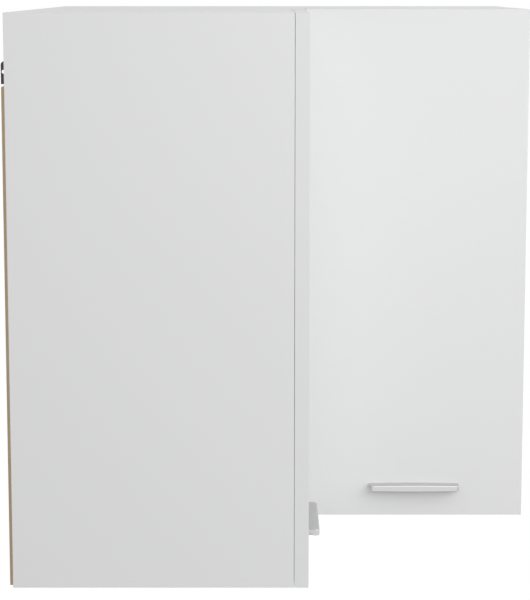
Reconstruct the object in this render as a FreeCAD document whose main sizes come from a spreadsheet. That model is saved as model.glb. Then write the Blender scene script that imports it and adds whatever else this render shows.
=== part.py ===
"""Corner wall cabinet, hung in the corner of a room.

The origin is where the two back planes meet at the underside of the cabinet. The left leg runs
along -Y and opens towards +X, the right leg runs along +X and opens towards -Y. The cabinet is
its own mirror image across the upright plane X = -Y, so the left half is drawn and the right
half is its mirror. Lengths are in millimetres.
"""
import FreeCAD, Part
import os
import re
import Sketcher

DOCUMENT = FreeCAD.newDocument("CornerWallCabinet")
SHEET = DOCUMENT.addObject("Spreadsheet::Sheet", "Sizes")

SIZES = {
    # carcass
    "leg_length": 570, "cabinet_height": 600, "side_depth": 294, "board": 15,
    "post_width": 30, "rail_height": 75, "rail_notch_room": 3, "rail_notch_side": 4,
    "back_thickness": 3, "back_bottom": 3, "back_top_drop": 75,
    "shelf_level": 292, "shelf_setback": 20, "shelf_clearance": 1,
    # knock-down fittings
    "cam_radius": 7.4, "cam_depth": 12.2, "cam_distance": 34, "cam_inset": 60,
    "cam_head_room": 0.5, "cam_neck_room": 0.4, "cam_cross_half": 0.7,
    "cam_cross_share": 0.6, "cam_cross_depth": 1.2,
    "bolt_thread_radius": 2.9, "bolt_thread_length": 11, "bolt_neck_radius": 1.9,
    "bolt_head_radius": 3.2, "bolt_head_length": 3.4, "bolt_tip_gap": 1.6,
    "bolt_collar": 0.4, "bolt_collar_length": 1.4, "bolt_taper": 1, "bolt_taper_length": 1.5,
    "cover_radius": 8.5, "cover_thickness": 0.8,
    "dowel_radius": 4, "dowel_length": 30, "dowel_seat": 11.5, "dowel_offset": 32,
    "dowel_bevel": 1, "rail_dowel_low": 7, "rail_dowel_high": 56,
    "post_dowel_near": 9, "post_dowel_far": 21,
    "drill_clearance": 0.1, "drill_depth_room": 0.5,
    "nail_radius": 0.8, "nail_length": 18, "nail_head_radius": 2, "nail_head_thickness": 0.5,
    "nail_tip": 2, "nail_pitch": 105, "nail_first": 57,
    "pin_radius": 2.5, "pin_depth": 9, "pin_bevel": 0.5, "pin_collar_radius": 4,
    "pin_collar": 0.8, "pin_rest_radius": 3, "pin_rest_length": 10, "pin_rest_bevel": 1,
    "pin_inset_back": 45, "pin_inset_front": 45,
    "pin_hole_pitch": 32, "pin_holes_each_way": 3, "post_pin_inset": 15,
    # hanger in the upper rear corner of each leg
    "hook_thickness": 2.5, "hook_lift": 9, "hook_height": 23.5, "hook_reach": 5.5,
    "hook_length": 52, "hook_corner": 4, "hook_hole_radius": 2, "hook_hole_inset": 2.7,
    "hook_hole_height": 12.6, "hook_offset": 1.5, "hook_travel": 2, "hanger_drop": 82,
    "hanger_length": 48, "hanger_height": 50, "hanger_width": 20, "hanger_gap": 0.3,
    "hanger_slot_gap": 0.6, "hanger_rounding": 3, "hanger_screw_radius": 2,
    "hanger_screw_length": 30, "hanger_screw_tip": 2, "hanger_head_radius": 3.8,
    "hanger_head_thickness": 2.2, "hanger_head_bevel": 0.7, "hanger_screw_inset": 8,
    "adjuster_radius": 3.5, "adjuster_length": 16, "adjuster_wall": 2,
    # doors
    "door_thickness": 15, "door_gap": 1, "door_corner_gap": 2,
    "bumper_radius": 4, "bumper_thickness": 0.9, "bumper_inset": 12,
    "handle_length": 106, "handle_screw_inset": 5, "handle_reach": 13.8, "handle_height": 7.7,
    "handle_top": 39.6, "handle_flange": 4.6, "handle_lip": 2.4, "handle_rounding": 1.2,
    "handle_end_rounding": 4.5, "handle_lip_cove": 1.4, "handle_foot_cove": 1.6,
    "handle_block": 6, "handle_block_length": 8, "handle_crown": 0.7, "handle_lip_rise": 0.6,
    "handle_screw_drop": 3.2, "handle_screw_radius": 2, "handle_screw_grip": 8.5,
    "handle_screw_gap": 1, "handle_drill_play": 0.5, "handle_head_radius": 4,
    "handle_head_thickness": 2.2,
    # pan-headed screws: the tip, and the head's side and top as shares of its height and radius
    "screw_tip_length": 2, "screw_tip_share": 0.4, "screw_side_share": 0.6,
    "screw_top_share": 0.7,
    # concealed hinges: out is measured from the carcass front, in from the outer end face
    "hinge_inset": 100, "cup_radius": 17.5, "cup_depth": 11.5, "cup_in": 22.5,
    "cup_floor": 0.5, "cup_flange": 0.7, "cup_flange_radius": 19,
    "cup_mouth": 20, "cup_rim_near": 3.6, "cup_rim_far": 4.6, "cup_notch": 16.8,
    "cup_notch_depth": 4.5, "cup_notch_overlap": 1, "cup_screw_spacing": 45,
    "cup_screw_offset": 9.5, "cup_wing_width": 11, "cup_wing_length": 57,
    "cup_screw_radius": 1.75, "cup_screw_length": 13, "cup_screw_head_radius": 3.2,
    "cup_screw_head": 0.25, "cup_pin_length": 25, "cup_stub_overlap": 0.2,
    "link_pin_radius": 0.75, "link_pin_play": 0.1, "pin_hole_play": 0.05,
    "link_thickness": 1.6, "outer_link_width": 16, "outer_link_plate": 1.6,
    "inner_link_width": 7.2, "link_web_share": 0.65, "outer_bend_near_out": 0.1,
    "outer_bend_near_in": 6.25, "outer_bend_far_out": -4.1, "outer_bend_far_in": 10.65,
    "inner_bend_out": 1.53, "inner_bend_in": 10.69,
    "link_eye_radius": 1.6, "link_barrel_radius": 1.9, "open_eye_radius": 2.9,
    "open_eye_hole": 2.15, "outer_arm_out": -3.37, "outer_arm_in": 35.0,
    "outer_cup_out": 4.6, "outer_cup_in": 11.66, "inner_arm_out": 8.0, "inner_arm_in": 29.03,
    "inner_cup_out": 8.67, "inner_cup_in": 12.71,
    "arm_wall": 1.4, "arm_play": 0.2, "arm_rear": 60, "arm_nose_radius": 2.3,
    "arm_lift": 0.4, "arm_slope_start": 22, "arm_crest_rise": 3.4, "arm_crest_rear": 7.6,
    "arm_crest_front": 0.4, "arm_shoulder_out": -0.3, "arm_shoulder_drop": 0.2,
    "arm_brow_out": 1.3, "arm_brow_in": 1.9, "arm_belly_front": 6, "arm_belly_rear": 15,
    "plate_screw_out": 37, "plate_screw_spacing": 32, "plate_thickness": 2.2,
    "plate_guide_height": 4.8, "plate_guide_width": 10, "plate_guide_setback": 2,
    "plate_length": 44, "plate_spine_width": 18, "plate_wing_width": 12,
    "plate_wing_length": 48, "plate_rounding": 3,
    "plate_screw_radius": 2.4, "plate_screw_length": 12, "plate_screw_head_radius": 4,
    "plate_screw_head": 1.4,
    "arm_screw_radius": 2, "arm_screw_head_radius": 3.4, "arm_screw_head": 1.6,
    "arm_screw_front": 26, "arm_screw_rear": 46, "arm_screw_grip": 3.6,
}

# How far a cutting shape reaches past the piece that it cuts, and how exact a place test is.
OVERCUT = 1
NEAR = 0.01


def write_sizes():
    for row, (alias, value) in enumerate(SIZES.items(), start=1):
        SHEET.set("A%d" % row, alias)
        SHEET.set("B%d" % row, str(value))
        SHEET.setAlias("B%d" % row, alias)
    DOCUMENT.recompute()


def formula(words):
    """Turn a formula in plain size names into one that refers to the sheet."""
    return re.sub(r"[a-z_]{4,}", lambda name: "Sizes." + name.group(0), str(words))


def size(alias):
    """The number that stands in the sheet now."""
    return float(SHEET.get(alias))


def bind(item, prop, words):
    item.setExpression(prop, formula(words))


def place(item, x=0, y=0, z=0, axis=None, angle=0):
    """Put an item at a position given as formulas, turned about an axis."""
    if axis:
        item.Placement.Rotation = FreeCAD.Rotation(FreeCAD.Vector(*axis), angle)
    bind(item, "Placement.Base.x", x)
    bind(item, "Placement.Base.y", y)
    bind(item, "Placement.Base.z", z)
    return item


# ---------------------------------------------------------------- sketches and bodies

def new_body(name):
    body = DOCUMENT.addObject("PartDesign::Body", name)
    body.Label = name
    return body


def new_sketch(body, plane, lift="0"):
    """A sketch on one of the body's own origin planes, lifted along the plane's normal."""
    sketch = body.newObject("Sketcher::SketchObject", body.Name + "_sketch")
    support = [item for item in body.Origin.OriginFeatures if item.Role == plane][0]
    sketch.AttachmentSupport = (support, "")
    sketch.MapMode = "FlatFace"
    bind(sketch, "AttachmentOffset.Base.z", lift)
    return sketch


def dimension(sketch, kind, items, start, name, words):
    sketch.addConstraint(Sketcher.Constraint(kind, *items, start))
    sketch.renameConstraint(sketch.ConstraintCount - 1, name)
    bind(sketch, "Constraints." + name, words)


def draw_outline(sketch, corners):
    """A closed outline of straight lines, with each corner dimensioned from the origin."""
    count = len(corners)
    spread = FreeCAD.Rotation(FreeCAD.Vector(0, 0, 1), 360.0 / count)
    start = [FreeCAD.Vector(50, 0, 0)]
    for _ in range(count - 1):
        start.append(spread.multVec(start[-1]))
    lines = [sketch.addGeometry(Part.LineSegment(start[i], start[(i + 1) % count]), False)
             for i in range(count)]
    for i, line in enumerate(lines):
        following = lines[(i + 1) % count]
        sketch.addConstraint(Sketcher.Constraint("Coincident", line, 2, following, 1))
    for i, (line, corner) in enumerate(zip(lines, corners)):
        dimension(sketch, "DistanceX", (-1, 1, line, 1), start[i].x, "across%d" % i, corner[0])
        dimension(sketch, "DistanceY", (-1, 1, line, 1), start[i].y, "along%d" % i, corner[1])


def draw_circles(sketch, circles):
    for i, (x, y, radius) in enumerate(circles):
        round_line = Part.Circle(FreeCAD.Vector(10 * i + 1, 1, 0), FreeCAD.Vector(0, 0, 1), 2)
        geometry = sketch.addGeometry(round_line, False)
        dimension(sketch, "DistanceX", (-1, 1, geometry, 3), 10 * i + 1, "across%d" % i, x)
        dimension(sketch, "DistanceY", (-1, 1, geometry, 3), 1, "along%d" % i, y)
        dimension(sketch, "Radius", (geometry,), 2, "radius%d" % i, radius)


def feature(body, kind, sketch, length, reversed_way=False, midplane=False):
    item = body.newObject("PartDesign::" + kind, body.Name + "_" + kind.lower())
    item.Profile = sketch
    item.Reversed = reversed_way
    if midplane:
        item.SideType = "Symmetric"
    bind(item, "Length", length)
    sketch.Visibility = False
    return item


def pad_outline(body, plane, corners, length, lift="0", **ways):
    sketch = new_sketch(body, plane, lift)
    draw_outline(sketch, corners)
    return feature(body, "Pad", sketch, length, **ways)


def pad_circles(body, plane, circles, length, lift="0", **ways):
    sketch = new_sketch(body, plane, lift)
    draw_circles(sketch, circles)
    return feature(body, "Pad", sketch, length, **ways)


def cut_checked(body, draw, plane, shapes, length, lift, ways):
    """Pocket a drawn shape and make sure that it takes material away."""
    DOCUMENT.recompute()
    before = body.Shape.Volume
    sketch = new_sketch(body, plane, lift)
    draw(sketch, shapes)
    item = feature(body, "Pocket", sketch, length, **ways)
    DOCUMENT.recompute()
    if body.Shape.Volume > before - NEAR:
        raise ValueError(body.Name + " has a pocket that cuts nothing")
    return item


def pocket_outline(body, plane, corners, length, lift="0", **ways):
    return cut_checked(body, draw_outline, plane, corners, length, lift, ways)


def pocket_circles(body, plane, circles, length, lift="0", **ways):
    return cut_checked(body, draw_circles, plane, circles, length, lift, ways)


def rectangle(x_low, y_low, x_high, y_high):
    return [(x_low, y_low), (x_high, y_low), (x_high, y_high), (x_low, y_high)]


def turned(name, profile):
    """A body of revolution about its own Z axis, from (radius, height) corners."""
    body = new_body(name)
    sketch = new_sketch(body, "XZ_Plane")
    draw_outline(sketch, profile)
    turn = body.newObject("PartDesign::Revolution", name + "_turn")
    turn.Profile = sketch
    turn.ReferenceAxis = (sketch, ["V_Axis"])
    turn.Angle = 360
    sketch.Visibility = False
    return body


def round_edges(body, radius, wanted):
    """Fillet the edges whose two ends and middle all pass the test."""
    DOCUMENT.recompute()
    names = []
    for number, edge in enumerate(body.Shape.Edges, start=1):
        middle = edge.valueAt((edge.FirstParameter + edge.LastParameter) / 2)
        ends = [vertex.Point for vertex in edge.Vertexes]
        if all(wanted(point) for point in ends + [middle]) and len(ends) == 2:
            names.append("Edge%d" % number)
    rounded = body.Tip
    fillet = body.newObject("PartDesign::Fillet", body.Name + "_rounding")
    fillet.Base = (rounded, names)
    bind(fillet, "Radius", radius)
    body.Tip = fillet
    return fillet


# ---------------------------------------------------------------- copies, mirrors, groups

def copy_of(master, name, **position):
    link = DOCUMENT.addObject("App::Link", name)
    link.LinkedObject = master
    return place(link, **position)


def group(name, members):
    item = DOCUMENT.addObject("Part::Compound", name)
    item.Label = name
    item.Links = members
    return item


def mirror(name, source):
    """The right-hand twin, across the upright plane X = -Y."""
    item = DOCUMENT.addObject("Part::Mirroring", name)
    item.Label = name
    item.Source = source
    item.Base = FreeCAD.Vector(0, 0, 0)
    item.Normal = FreeCAD.Vector(1, 1, 0)
    return item


def both_sides(name, left_members):
    """One node with the left-hand pieces and their mirror images."""
    left = group(name + "_left_half", left_members)
    right = mirror(name + "_right_half", left)
    return group(name, [left, right])


def drilled(name, blank, drills):
    """The blank with every drill shape in the list taken out of it."""
    item = DOCUMENT.addObject("Part::Cut", name)
    item.Label = name
    item.Base = blank
    item.Tool = drills[0] if len(drills) == 1 else group(name + "_drills", drills)
    return item


def rod(name, radius, length):
    item = DOCUMENT.addObject("Part::Cylinder", name)
    bind(item, "Radius", radius)
    bind(item, "Height", length)
    return item


# Places shared by everything in the left half. X runs from the back to the front of the leg.
BACK = "back_thickness"
FRONT = "(back_thickness + side_depth)"
OUTER_END = "-(back_thickness + leg_length)"
INNER_END = "-(back_thickness + leg_length - board)"
INNER_LENGTH = "(leg_length - board)"
CEILING = "(cabinet_height - board)"
BACK_HEIGHT = "(cabinet_height - back_top_drop - back_bottom)"
DOOR_BACK = "(back_thickness + side_depth + door_gap)"
DOOR_WIDTH = "(leg_length - side_depth - door_gap - door_thickness - door_corner_gap)"
SCREW_TO_MIDDLE = "(handle_length / 2 - handle_screw_inset)"
HANGER_LOW = "(cabinet_height - hanger_drop)"
HOOK_LOW = "(cabinet_height - hanger_drop + hook_lift)"
TURN_TO_MINUS_Y = {"axis": (1, 0, 0), "angle": 90}
TURN_TO_PLUS_Y = {"axis": (1, 0, 0), "angle": -90}
TURN_TO_PLUS_X = {"axis": (0, 1, 0), "angle": 90}
TURN_TO_MINUS_X = {"axis": (0, 1, 0), "angle": -90}
UPSIDE_DOWN = {"axis": (0, 1, 0), "angle": 180}


# ---------------------------------------------------------------- knock-down fittings

def make_cam_lock():
    """A cam in its hole, top face at height 0, with the bolt's way in from -Y."""
    body = new_body("cam_lock_master")
    pad_circles(body, "XY_Plane", [("0", "0", "cam_radius")], "cam_depth", reversed_way=True)
    low = "-board / 2 - bolt_head_radius - cam_head_room"
    high = "-board / 2 + bolt_head_radius + cam_head_room"
    wide = "bolt_head_radius + cam_head_room"
    pocket_outline(body, "XZ_Plane", rectangle("-(%s)" % wide, low, wide, high),
                   "bolt_head_length + 2 * cam_head_room", lift="bolt_tip_gap - cam_head_room",
                   reversed_way=True)
    narrow = "(bolt_neck_radius + cam_neck_room)"
    pocket_outline(body, "XZ_Plane",
                   rectangle("-" + narrow, "-board / 2 - " + narrow,
                             narrow, "-board / 2 + " + narrow),
                   "cam_radius", lift="bolt_tip_gap + cam_head_room", reversed_way=True)
    reach = "cam_radius * cam_cross_share"
    half = "cam_cross_half"
    for bar in (("-" + reach, "-" + half, reach, half), ("-" + half, "-" + reach, half, reach)):
        pocket_outline(body, "XY_Plane", rectangle(*bar), "cam_cross_depth")
    return body


def make_cam_bolt():
    """A bolt along Z: thread below height 0, neck and head above it."""
    head_low = "cam_distance - bolt_tip_gap - bolt_head_length"
    head_high = "cam_distance - bolt_tip_gap"
    return turned("cam_bolt_master", [
        ("0", "-bolt_thread_length"), ("bolt_thread_radius - bolt_taper", "-bolt_thread_length"),
        ("bolt_thread_radius", "-bolt_thread_length + bolt_taper_length"),
        ("bolt_thread_radius", "0"), ("bolt_head_radius + bolt_collar", "0"),
        ("bolt_head_radius + bolt_collar", "bolt_collar_length"),
        ("bolt_neck_radius", "bolt_collar_length"), ("bolt_neck_radius", head_low),
        ("bolt_head_radius", head_low + " + bolt_taper"), ("bolt_head_radius", head_high),
        ("0", head_high)])


def make_dowel():
    """A dowel along Z that reaches its seat depth below height 0."""
    top = "dowel_length - dowel_seat"
    return turned("dowel_master", [
        ("0", "-dowel_seat"), ("dowel_radius - dowel_bevel", "-dowel_seat"),
        ("dowel_radius", "-dowel_seat + dowel_bevel"), ("dowel_radius", top + " - dowel_bevel"),
        ("dowel_radius - dowel_bevel", top), ("0", top)])


def joint_places():
    """Where cams and dowels stand along the depth of the leg, back to front."""
    rear = "back_thickness + cam_inset"
    front = "back_thickness + side_depth - cam_inset"
    return (rear, front), (rear + " + dowel_offset", front + " - dowel_offset")


def make_knock_down_joints():
    """Cams, bolts, covers and dowels, and the drills that make room for them."""
    cam = make_cam_lock()
    bolt = make_cam_bolt()
    dowel = make_dowel()
    cover = rod("cam_cover_master", "cover_radius", "cover_thickness")
    cam_drill = rod("cam_drill", "cam_radius + drill_clearance", "cam_depth + drill_clearance")
    bolt_drill = rod("bolt_drill", "bolt_head_radius + bolt_collar + drill_clearance",
                     "cam_distance")
    thread_drill = rod("thread_drill", "bolt_thread_radius + drill_clearance",
                       "bolt_thread_length + drill_depth_room")
    dowel_drill = rod("dowel_drill", "dowel_radius + drill_clearance",
                      "dowel_length + 2 * drill_depth_room")
    cam_y = INNER_END + " + cam_distance"
    cams, bolts, covers, dowels, drills = [], [], [], [], []
    cam_places, dowel_places = joint_places()
    levels = {"low": ("board", "board / 2", 1), "high": (CEILING, CEILING + " + board / 2", -1)}
    for level, (face, middle, way) in levels.items():
        turn = {} if way > 0 else UPSIDE_DOWN
        for i, x in enumerate(cam_places):
            tag = "_%s%d" % (level, i)
            cams.append(copy_of(cam, "cam" + tag, x=x, y=cam_y, z=face, **turn))
            bolts.append(copy_of(bolt, "bolt" + tag, x=x, y=INNER_END, z=middle, **TURN_TO_PLUS_Y))
            covers.append(copy_of(cover, "cover" + tag, x=x, y=cam_y, z=face, **turn))
            drill_floor = face + (" - " if way > 0 else " + ") + "cam_depth"
            drill_floor += (" - " if way > 0 else " + ") + "drill_clearance"
            drills.append(copy_of(cam_drill, "cam_drill" + tag, x=x, y=cam_y, z=drill_floor, **turn))
            drills.append(copy_of(bolt_drill, "bolt_drill" + tag, x=x, y=INNER_END, z=middle,
                                  **TURN_TO_PLUS_Y))
            drills.append(copy_of(thread_drill, "thread_drill" + tag, x=x, y=INNER_END, z=middle,
                                  **TURN_TO_MINUS_Y))
        for i, x in enumerate(dowel_places):
            tag = "_%s%d" % (level, i)
            dowels.append(copy_of(dowel, "dowel" + tag, x=x, y=INNER_END, z=middle,
                                  **TURN_TO_PLUS_Y))
            drills.append(copy_of(dowel_drill, "dowel_drill" + tag, x=x, z=middle,
                                  y=INNER_END + " - dowel_seat - drill_depth_room",
                                  **TURN_TO_PLUS_Y))
    rail_bottom = CEILING + " - rail_height"
    for i, height in enumerate(("rail_dowel_low", "rail_dowel_high")):
        z = rail_bottom + " + " + height
        x = "back_thickness + board / 2"
        tag = "_rail%d" % i
        dowels.append(copy_of(dowel, "dowel_end" + tag, x=x, y=INNER_END, z=z, **TURN_TO_PLUS_Y))
        drills.append(copy_of(dowel_drill, "dowel_drill_end" + tag, x=x, z=z,
                              y=INNER_END + " - dowel_seat - drill_depth_room",
                              **TURN_TO_PLUS_Y))
        post_face = "-(back_thickness + post_width)"
        dowels.append(copy_of(dowel, "dowel_post" + tag, x=x, y=post_face, z=z,
                              **TURN_TO_MINUS_Y))
        drills.append(copy_of(dowel_drill, "dowel_drill_post" + tag, x=x, z=z,
                              y=post_face + " + dowel_seat + drill_depth_room",
                              **TURN_TO_MINUS_Y))
    upright, upright_drills = [], []
    for i, inset in enumerate(("post_dowel_near", "post_dowel_far")):
        spot = {"x": "back_thickness + " + inset, "y": "-back_thickness - " + inset}
        upright.append(copy_of(dowel, "dowel_foot%d" % i, z="board", **spot))
        upright_drills.append(copy_of(dowel_drill, "dowel_drill_foot%d" % i,
                                      z="board - dowel_seat - drill_depth_room", **spot))
        upright.append(copy_of(dowel, "dowel_head%d" % i, z=CEILING, **spot, **UPSIDE_DOWN))
        upright_drills.append(copy_of(dowel_drill, "dowel_drill_head%d" % i,
                                      z=CEILING + " + dowel_seat + drill_depth_room",
                                      **spot, **UPSIDE_DOWN))
    both_sides("cam_locks", cams)
    both_sides("cam_bolts", bolts)
    both_sides("cam_covers", covers)
    side_dowels = both_sides("side_dowels", dowels)
    group("wood_dowels", [side_dowels] + upright)
    left_drills = group("joint_drills_left", drills)
    return [left_drills, mirror("joint_drills_right", left_drills)] + upright_drills


def make_nails():
    """Nails that hold the back boards, with heads flush in the board."""
    nail = turned("nail_master", [
        ("0", "0"), ("nail_head_radius", "0"), ("nail_head_radius", "nail_head_thickness"),
        ("nail_radius", "nail_head_thickness"), ("nail_radius", "nail_length - nail_tip"),
        ("0", "nail_length")])
    clear = " + drill_clearance"
    drill = turned("nail_drill_master", [
        ("0", "0"), ("nail_head_radius" + clear, "0"),
        ("nail_head_radius" + clear, "nail_head_thickness" + clear),
        ("nail_radius" + clear, "nail_head_thickness" + clear),
        ("nail_radius" + clear, "nail_length + drill_depth_room"),
        ("0", "nail_length + drill_depth_room")])
    spots = []
    back_height = size("cabinet_height") - size("back_top_drop") - size("back_bottom")
    upright_count = int((back_height - size("nail_first")) // size("nail_pitch")) + 1
    for i in range(upright_count):
        z = "back_bottom + nail_first + %d * nail_pitch" % i
        spots.append((OUTER_END + " + board / 2", z))
        spots.append(("-back_thickness - post_width / 2", z))
    level_count = int((size("leg_length") - 2 * size("nail_pitch")) // size("nail_pitch")) + 1
    rail_overlap = "(back_bottom + %s + %s - rail_height) / 2" % (BACK_HEIGHT, CEILING)
    for i in range(level_count):
        y = OUTER_END + " + %d * nail_pitch" % (i + 1)
        spots.append((y, "(back_bottom + board) / 2"))
        spots.append((y, rail_overlap))
    nails = []
    drills = []
    for i, (y, z) in enumerate(spots):
        nails.append(copy_of(nail, "nail%d" % i, y=y, z=z, **TURN_TO_PLUS_X))
        drills.append(copy_of(drill, "nail_drill%d" % i, y=y, z=z, **TURN_TO_PLUS_X))
    both_sides("back_panel_nails", nails)
    left = group("nail_drills_left", drills)
    return [left, mirror("nail_drills_right", left)]


def make_shelf_pins():
    """Six pins under the shelf, and the rows of holes that they fit."""
    pin = turned("shelf_pin_master", [
        ("0", "-pin_depth"), ("pin_radius - pin_bevel", "-pin_depth"),
        ("pin_radius", "-pin_depth + pin_bevel"), ("pin_radius", "0"), ("pin_collar_radius", "0"),
        ("pin_collar_radius", "pin_collar"), ("pin_rest_radius", "pin_collar"),
        ("pin_rest_radius", "pin_rest_length - pin_rest_bevel"),
        ("pin_rest_radius - pin_rest_bevel", "pin_rest_length"), ("0", "pin_rest_length")])
    drill = rod("pin_drill", "pin_radius + drill_clearance", "pin_depth + drill_depth_room")
    spots = [("back_thickness + pin_inset_back", INNER_END, TURN_TO_PLUS_Y, TURN_TO_MINUS_Y),
             (FRONT + " - pin_inset_front", INNER_END, TURN_TO_PLUS_Y, TURN_TO_MINUS_Y),
             ("back_thickness + post_pin_inset", "-(back_thickness + post_width)",
              TURN_TO_MINUS_Y, TURN_TO_PLUS_Y)]
    level = "shelf_level - pin_rest_radius"
    steps = int(size("pin_holes_each_way"))
    pins = []
    drills = []
    for i, (x, y, pin_turn, drill_turn) in enumerate(spots):
        pins.append(copy_of(pin, "shelf_pin%d" % i, x=x, y=y, z=level, **pin_turn))
        for step in range(-steps, steps + 1):
            z = level + " + %d * pin_hole_pitch" % step
            drills.append(copy_of(drill, "pin_drill%d_%d" % (i, step + steps), x=x, y=y, z=z,
                                  **drill_turn))
    both_sides("shelf_pins", pins)
    left = group("pin_drills_left", drills)
    return [left, mirror("pin_drills_right", left)]


# ---------------------------------------------------------------- carcass boards

def elbow(reach, depth):
    """The L outline of a panel that fills both legs, with its room corner at upper left."""
    inner = "%s - %s" % (reach, depth)
    return [("0", "0"), (depth, "0"), (depth, inner), (reach, inner), (reach, reach), ("0", reach)]


def make_boards(joint_drills, nail_drills, pin_drills, hinge_drills, hanger_drills):
    end = new_body("end_panel_blank")
    pad_outline(end, "XY_Plane", rectangle("0", "0", "side_depth", "board"), "cabinet_height")
    place(end, x=BACK, y=OUTER_END)
    left_end = drilled("end_panel_left", end, [joint_drills[0], nail_drills[0], pin_drills[0],
                                               hinge_drills, hanger_drills])
    mirror("end_panel_right", left_end)

    for name, level in (("bottom_panel", "0"), ("top_panel", CEILING)):
        blank = new_body(name + "_blank")
        pad_outline(blank, "XY_Plane", elbow(INNER_LENGTH, "side_depth"), "board")
        place(blank, x=BACK, y=INNER_END, z=level)
        drilled(name, blank, joint_drills + nail_drills)

    shelf = new_body("shelf")
    reach = "(leg_length - board - 2 * shelf_clearance)"
    depth = "(side_depth - shelf_setback - shelf_clearance)"
    corners = elbow(reach, depth)[:-1]
    notch = reach + " - post_width"
    corners += [("post_width", reach), ("post_width", notch), ("0", notch)]
    pad_outline(shelf, "XY_Plane", corners, "board")
    place(shelf, x="back_thickness + shelf_clearance", y=INNER_END + " + shelf_clearance",
          z="shelf_level")

    post = new_body("rear_corner_post_blank")
    pad_outline(post, "XY_Plane", rectangle("0", "0", "post_width", "post_width"),
                "cabinet_height - 2 * board")
    place(post, x=BACK, y="-(back_thickness + post_width)", z="board")
    drilled("rear_corner_post", post, joint_drills + nail_drills + pin_drills)

    rail = new_body("hanging_rail_blank")
    rail_length = "(leg_length - board - post_width)"
    pad_outline(rail, "YZ_Plane", rectangle("0", "0", rail_length, "rail_height"), "board")
    rail_bottom = "(cabinet_height - board - rail_height)"
    pocket_outline(rail, "YZ_Plane",
                   rectangle("-rail_notch_side", HOOK_LOW + " - rail_notch_room - " + rail_bottom,
                             "hook_offset + hook_thickness + rail_notch_side",
                             HOOK_LOW + " + hook_height + rail_notch_room - " + rail_bottom),
                   "board", reversed_way=True)
    place(rail, x=BACK, y=INNER_END, z=CEILING + " - rail_height")
    left_rail = drilled("hanging_rail_left", rail, [joint_drills[0], nail_drills[0]])
    mirror("hanging_rail_right", left_rail)

    back = new_body("back_panel_blank")
    pad_outline(back, "YZ_Plane", rectangle("0", "0", "leg_length", BACK_HEIGHT),
                "back_thickness")
    place(back, y=OUTER_END, z="back_bottom")
    left_back = drilled("back_panel_left", back, [nail_drills[0]])
    mirror("back_panel_right", left_back)


# ---------------------------------------------------------------- hangers

def make_hangers():
    """A hook plate that slides in a housing, screwed inside the upper rear corner."""
    hook_y = INNER_END + " + hook_offset"
    hook = new_body("hanger_hook_left")
    pad_outline(hook, "XZ_Plane", rectangle("0", "0", "hook_length", "hook_height"),
                "hook_thickness", reversed_way=True)
    pocket_circles(hook, "XZ_Plane", [("hook_hole_inset", "hook_hole_height", "hook_hole_radius")],
                   "hook_thickness")
    round_edges(hook, "hook_corner",
                lambda point: point.x < NEAR and point.z > size("hook_height") - NEAR)
    place(hook, x="back_thickness - hook_reach", y=hook_y, z=HOOK_LOW)
    mirror("hanger_hook_right", hook)

    housing_x = "(back_thickness + board + hanger_gap)"
    housing = new_body("hanger_housing_left")
    pad_outline(housing, "XZ_Plane", rectangle("0", "0", "hanger_length", "hanger_height"),
                "hanger_width", reversed_way=True)
    round_edges(housing, "hanger_rounding",
                lambda point: point.y > size("hanger_width") - NEAR)
    slot_low = "hook_lift - hanger_slot_gap"
    slot_high = "hook_lift + hook_height + hanger_slot_gap"
    pocket_outline(housing, "YZ_Plane",
                   rectangle("hook_offset - hanger_slot_gap", slot_low,
                             "hook_offset + hook_thickness + hanger_slot_gap", slot_high),
                   "hook_length - hook_reach - board + hook_travel", reversed_way=True)
    screw_x = "hanger_length - hanger_screw_inset"
    adjuster_y = "hanger_width - adjuster_radius - adjuster_wall"
    clear_radius = "hanger_screw_radius + drill_clearance"
    pocket_circles(housing, "XZ_Plane",
                   [("hanger_screw_inset", "hanger_height - hanger_screw_inset", clear_radius),
                    (screw_x, "hanger_height - hanger_screw_inset", clear_radius)],
                   "hanger_width", reversed_way=False)
    pocket_circles(housing, "XY_Plane", [("hanger_length / 2", adjuster_y,
                                          "adjuster_radius + drill_clearance")],
                   "adjuster_length", reversed_way=True)
    place(housing, x=housing_x, y=INNER_END, z=HANGER_LOW)
    mirror("hanger_housing_right", housing)

    head_side = "hanger_head_thickness - hanger_head_bevel"
    screw = turned("hanger_screw_master", [
        ("0", "-hanger_screw_length"),
        ("hanger_screw_radius", "-hanger_screw_length + hanger_screw_tip"),
        ("hanger_screw_radius", "0"), ("hanger_head_radius", "0"),
        ("hanger_head_radius", head_side),
        ("hanger_head_radius - hanger_head_bevel", "hanger_head_thickness"),
        ("0", "hanger_head_thickness")])
    drill = rod("hanger_screw_drill", clear_radius, "hanger_screw_length")
    adjuster = rod("hanger_adjuster_master", "adjuster_radius", "adjuster_length")
    members = []
    drills = []
    for i, x in enumerate(("hanger_screw_inset", screw_x)):
        spot = {"x": housing_x + " + " + x,
                "z": HANGER_LOW + " + hanger_height - hanger_screw_inset"}
        members.append(copy_of(screw, "hanger_screw%d" % i, y=INNER_END + " + hanger_width",
                               **spot, **TURN_TO_PLUS_Y))
        drills.append(copy_of(drill, "hanger_screw_drill%d" % i,
                              y=INNER_END + " + hanger_width - hanger_screw_length"
                                            " - drill_depth_room",
                              **spot, **TURN_TO_PLUS_Y))
    members.append(copy_of(adjuster, "hanger_adjuster", x=housing_x + " + hanger_length / 2",
                           y=INNER_END + " + " + adjuster_y, z=HANGER_LOW))
    both_sides("hanger_screws", members)
    return group("hanger_drills", drills)


# ---------------------------------------------------------------- hinges

def point(out, inward):
    """A place in the hinge plane: out from the carcass front, in from the end face."""
    return FreeCAD.Vector(out, inward, 0)


def barrel(centre, radius, low, high):
    return Part.makeCylinder(radius, high - low, centre + FreeCAD.Vector(0, 0, low))


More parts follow.
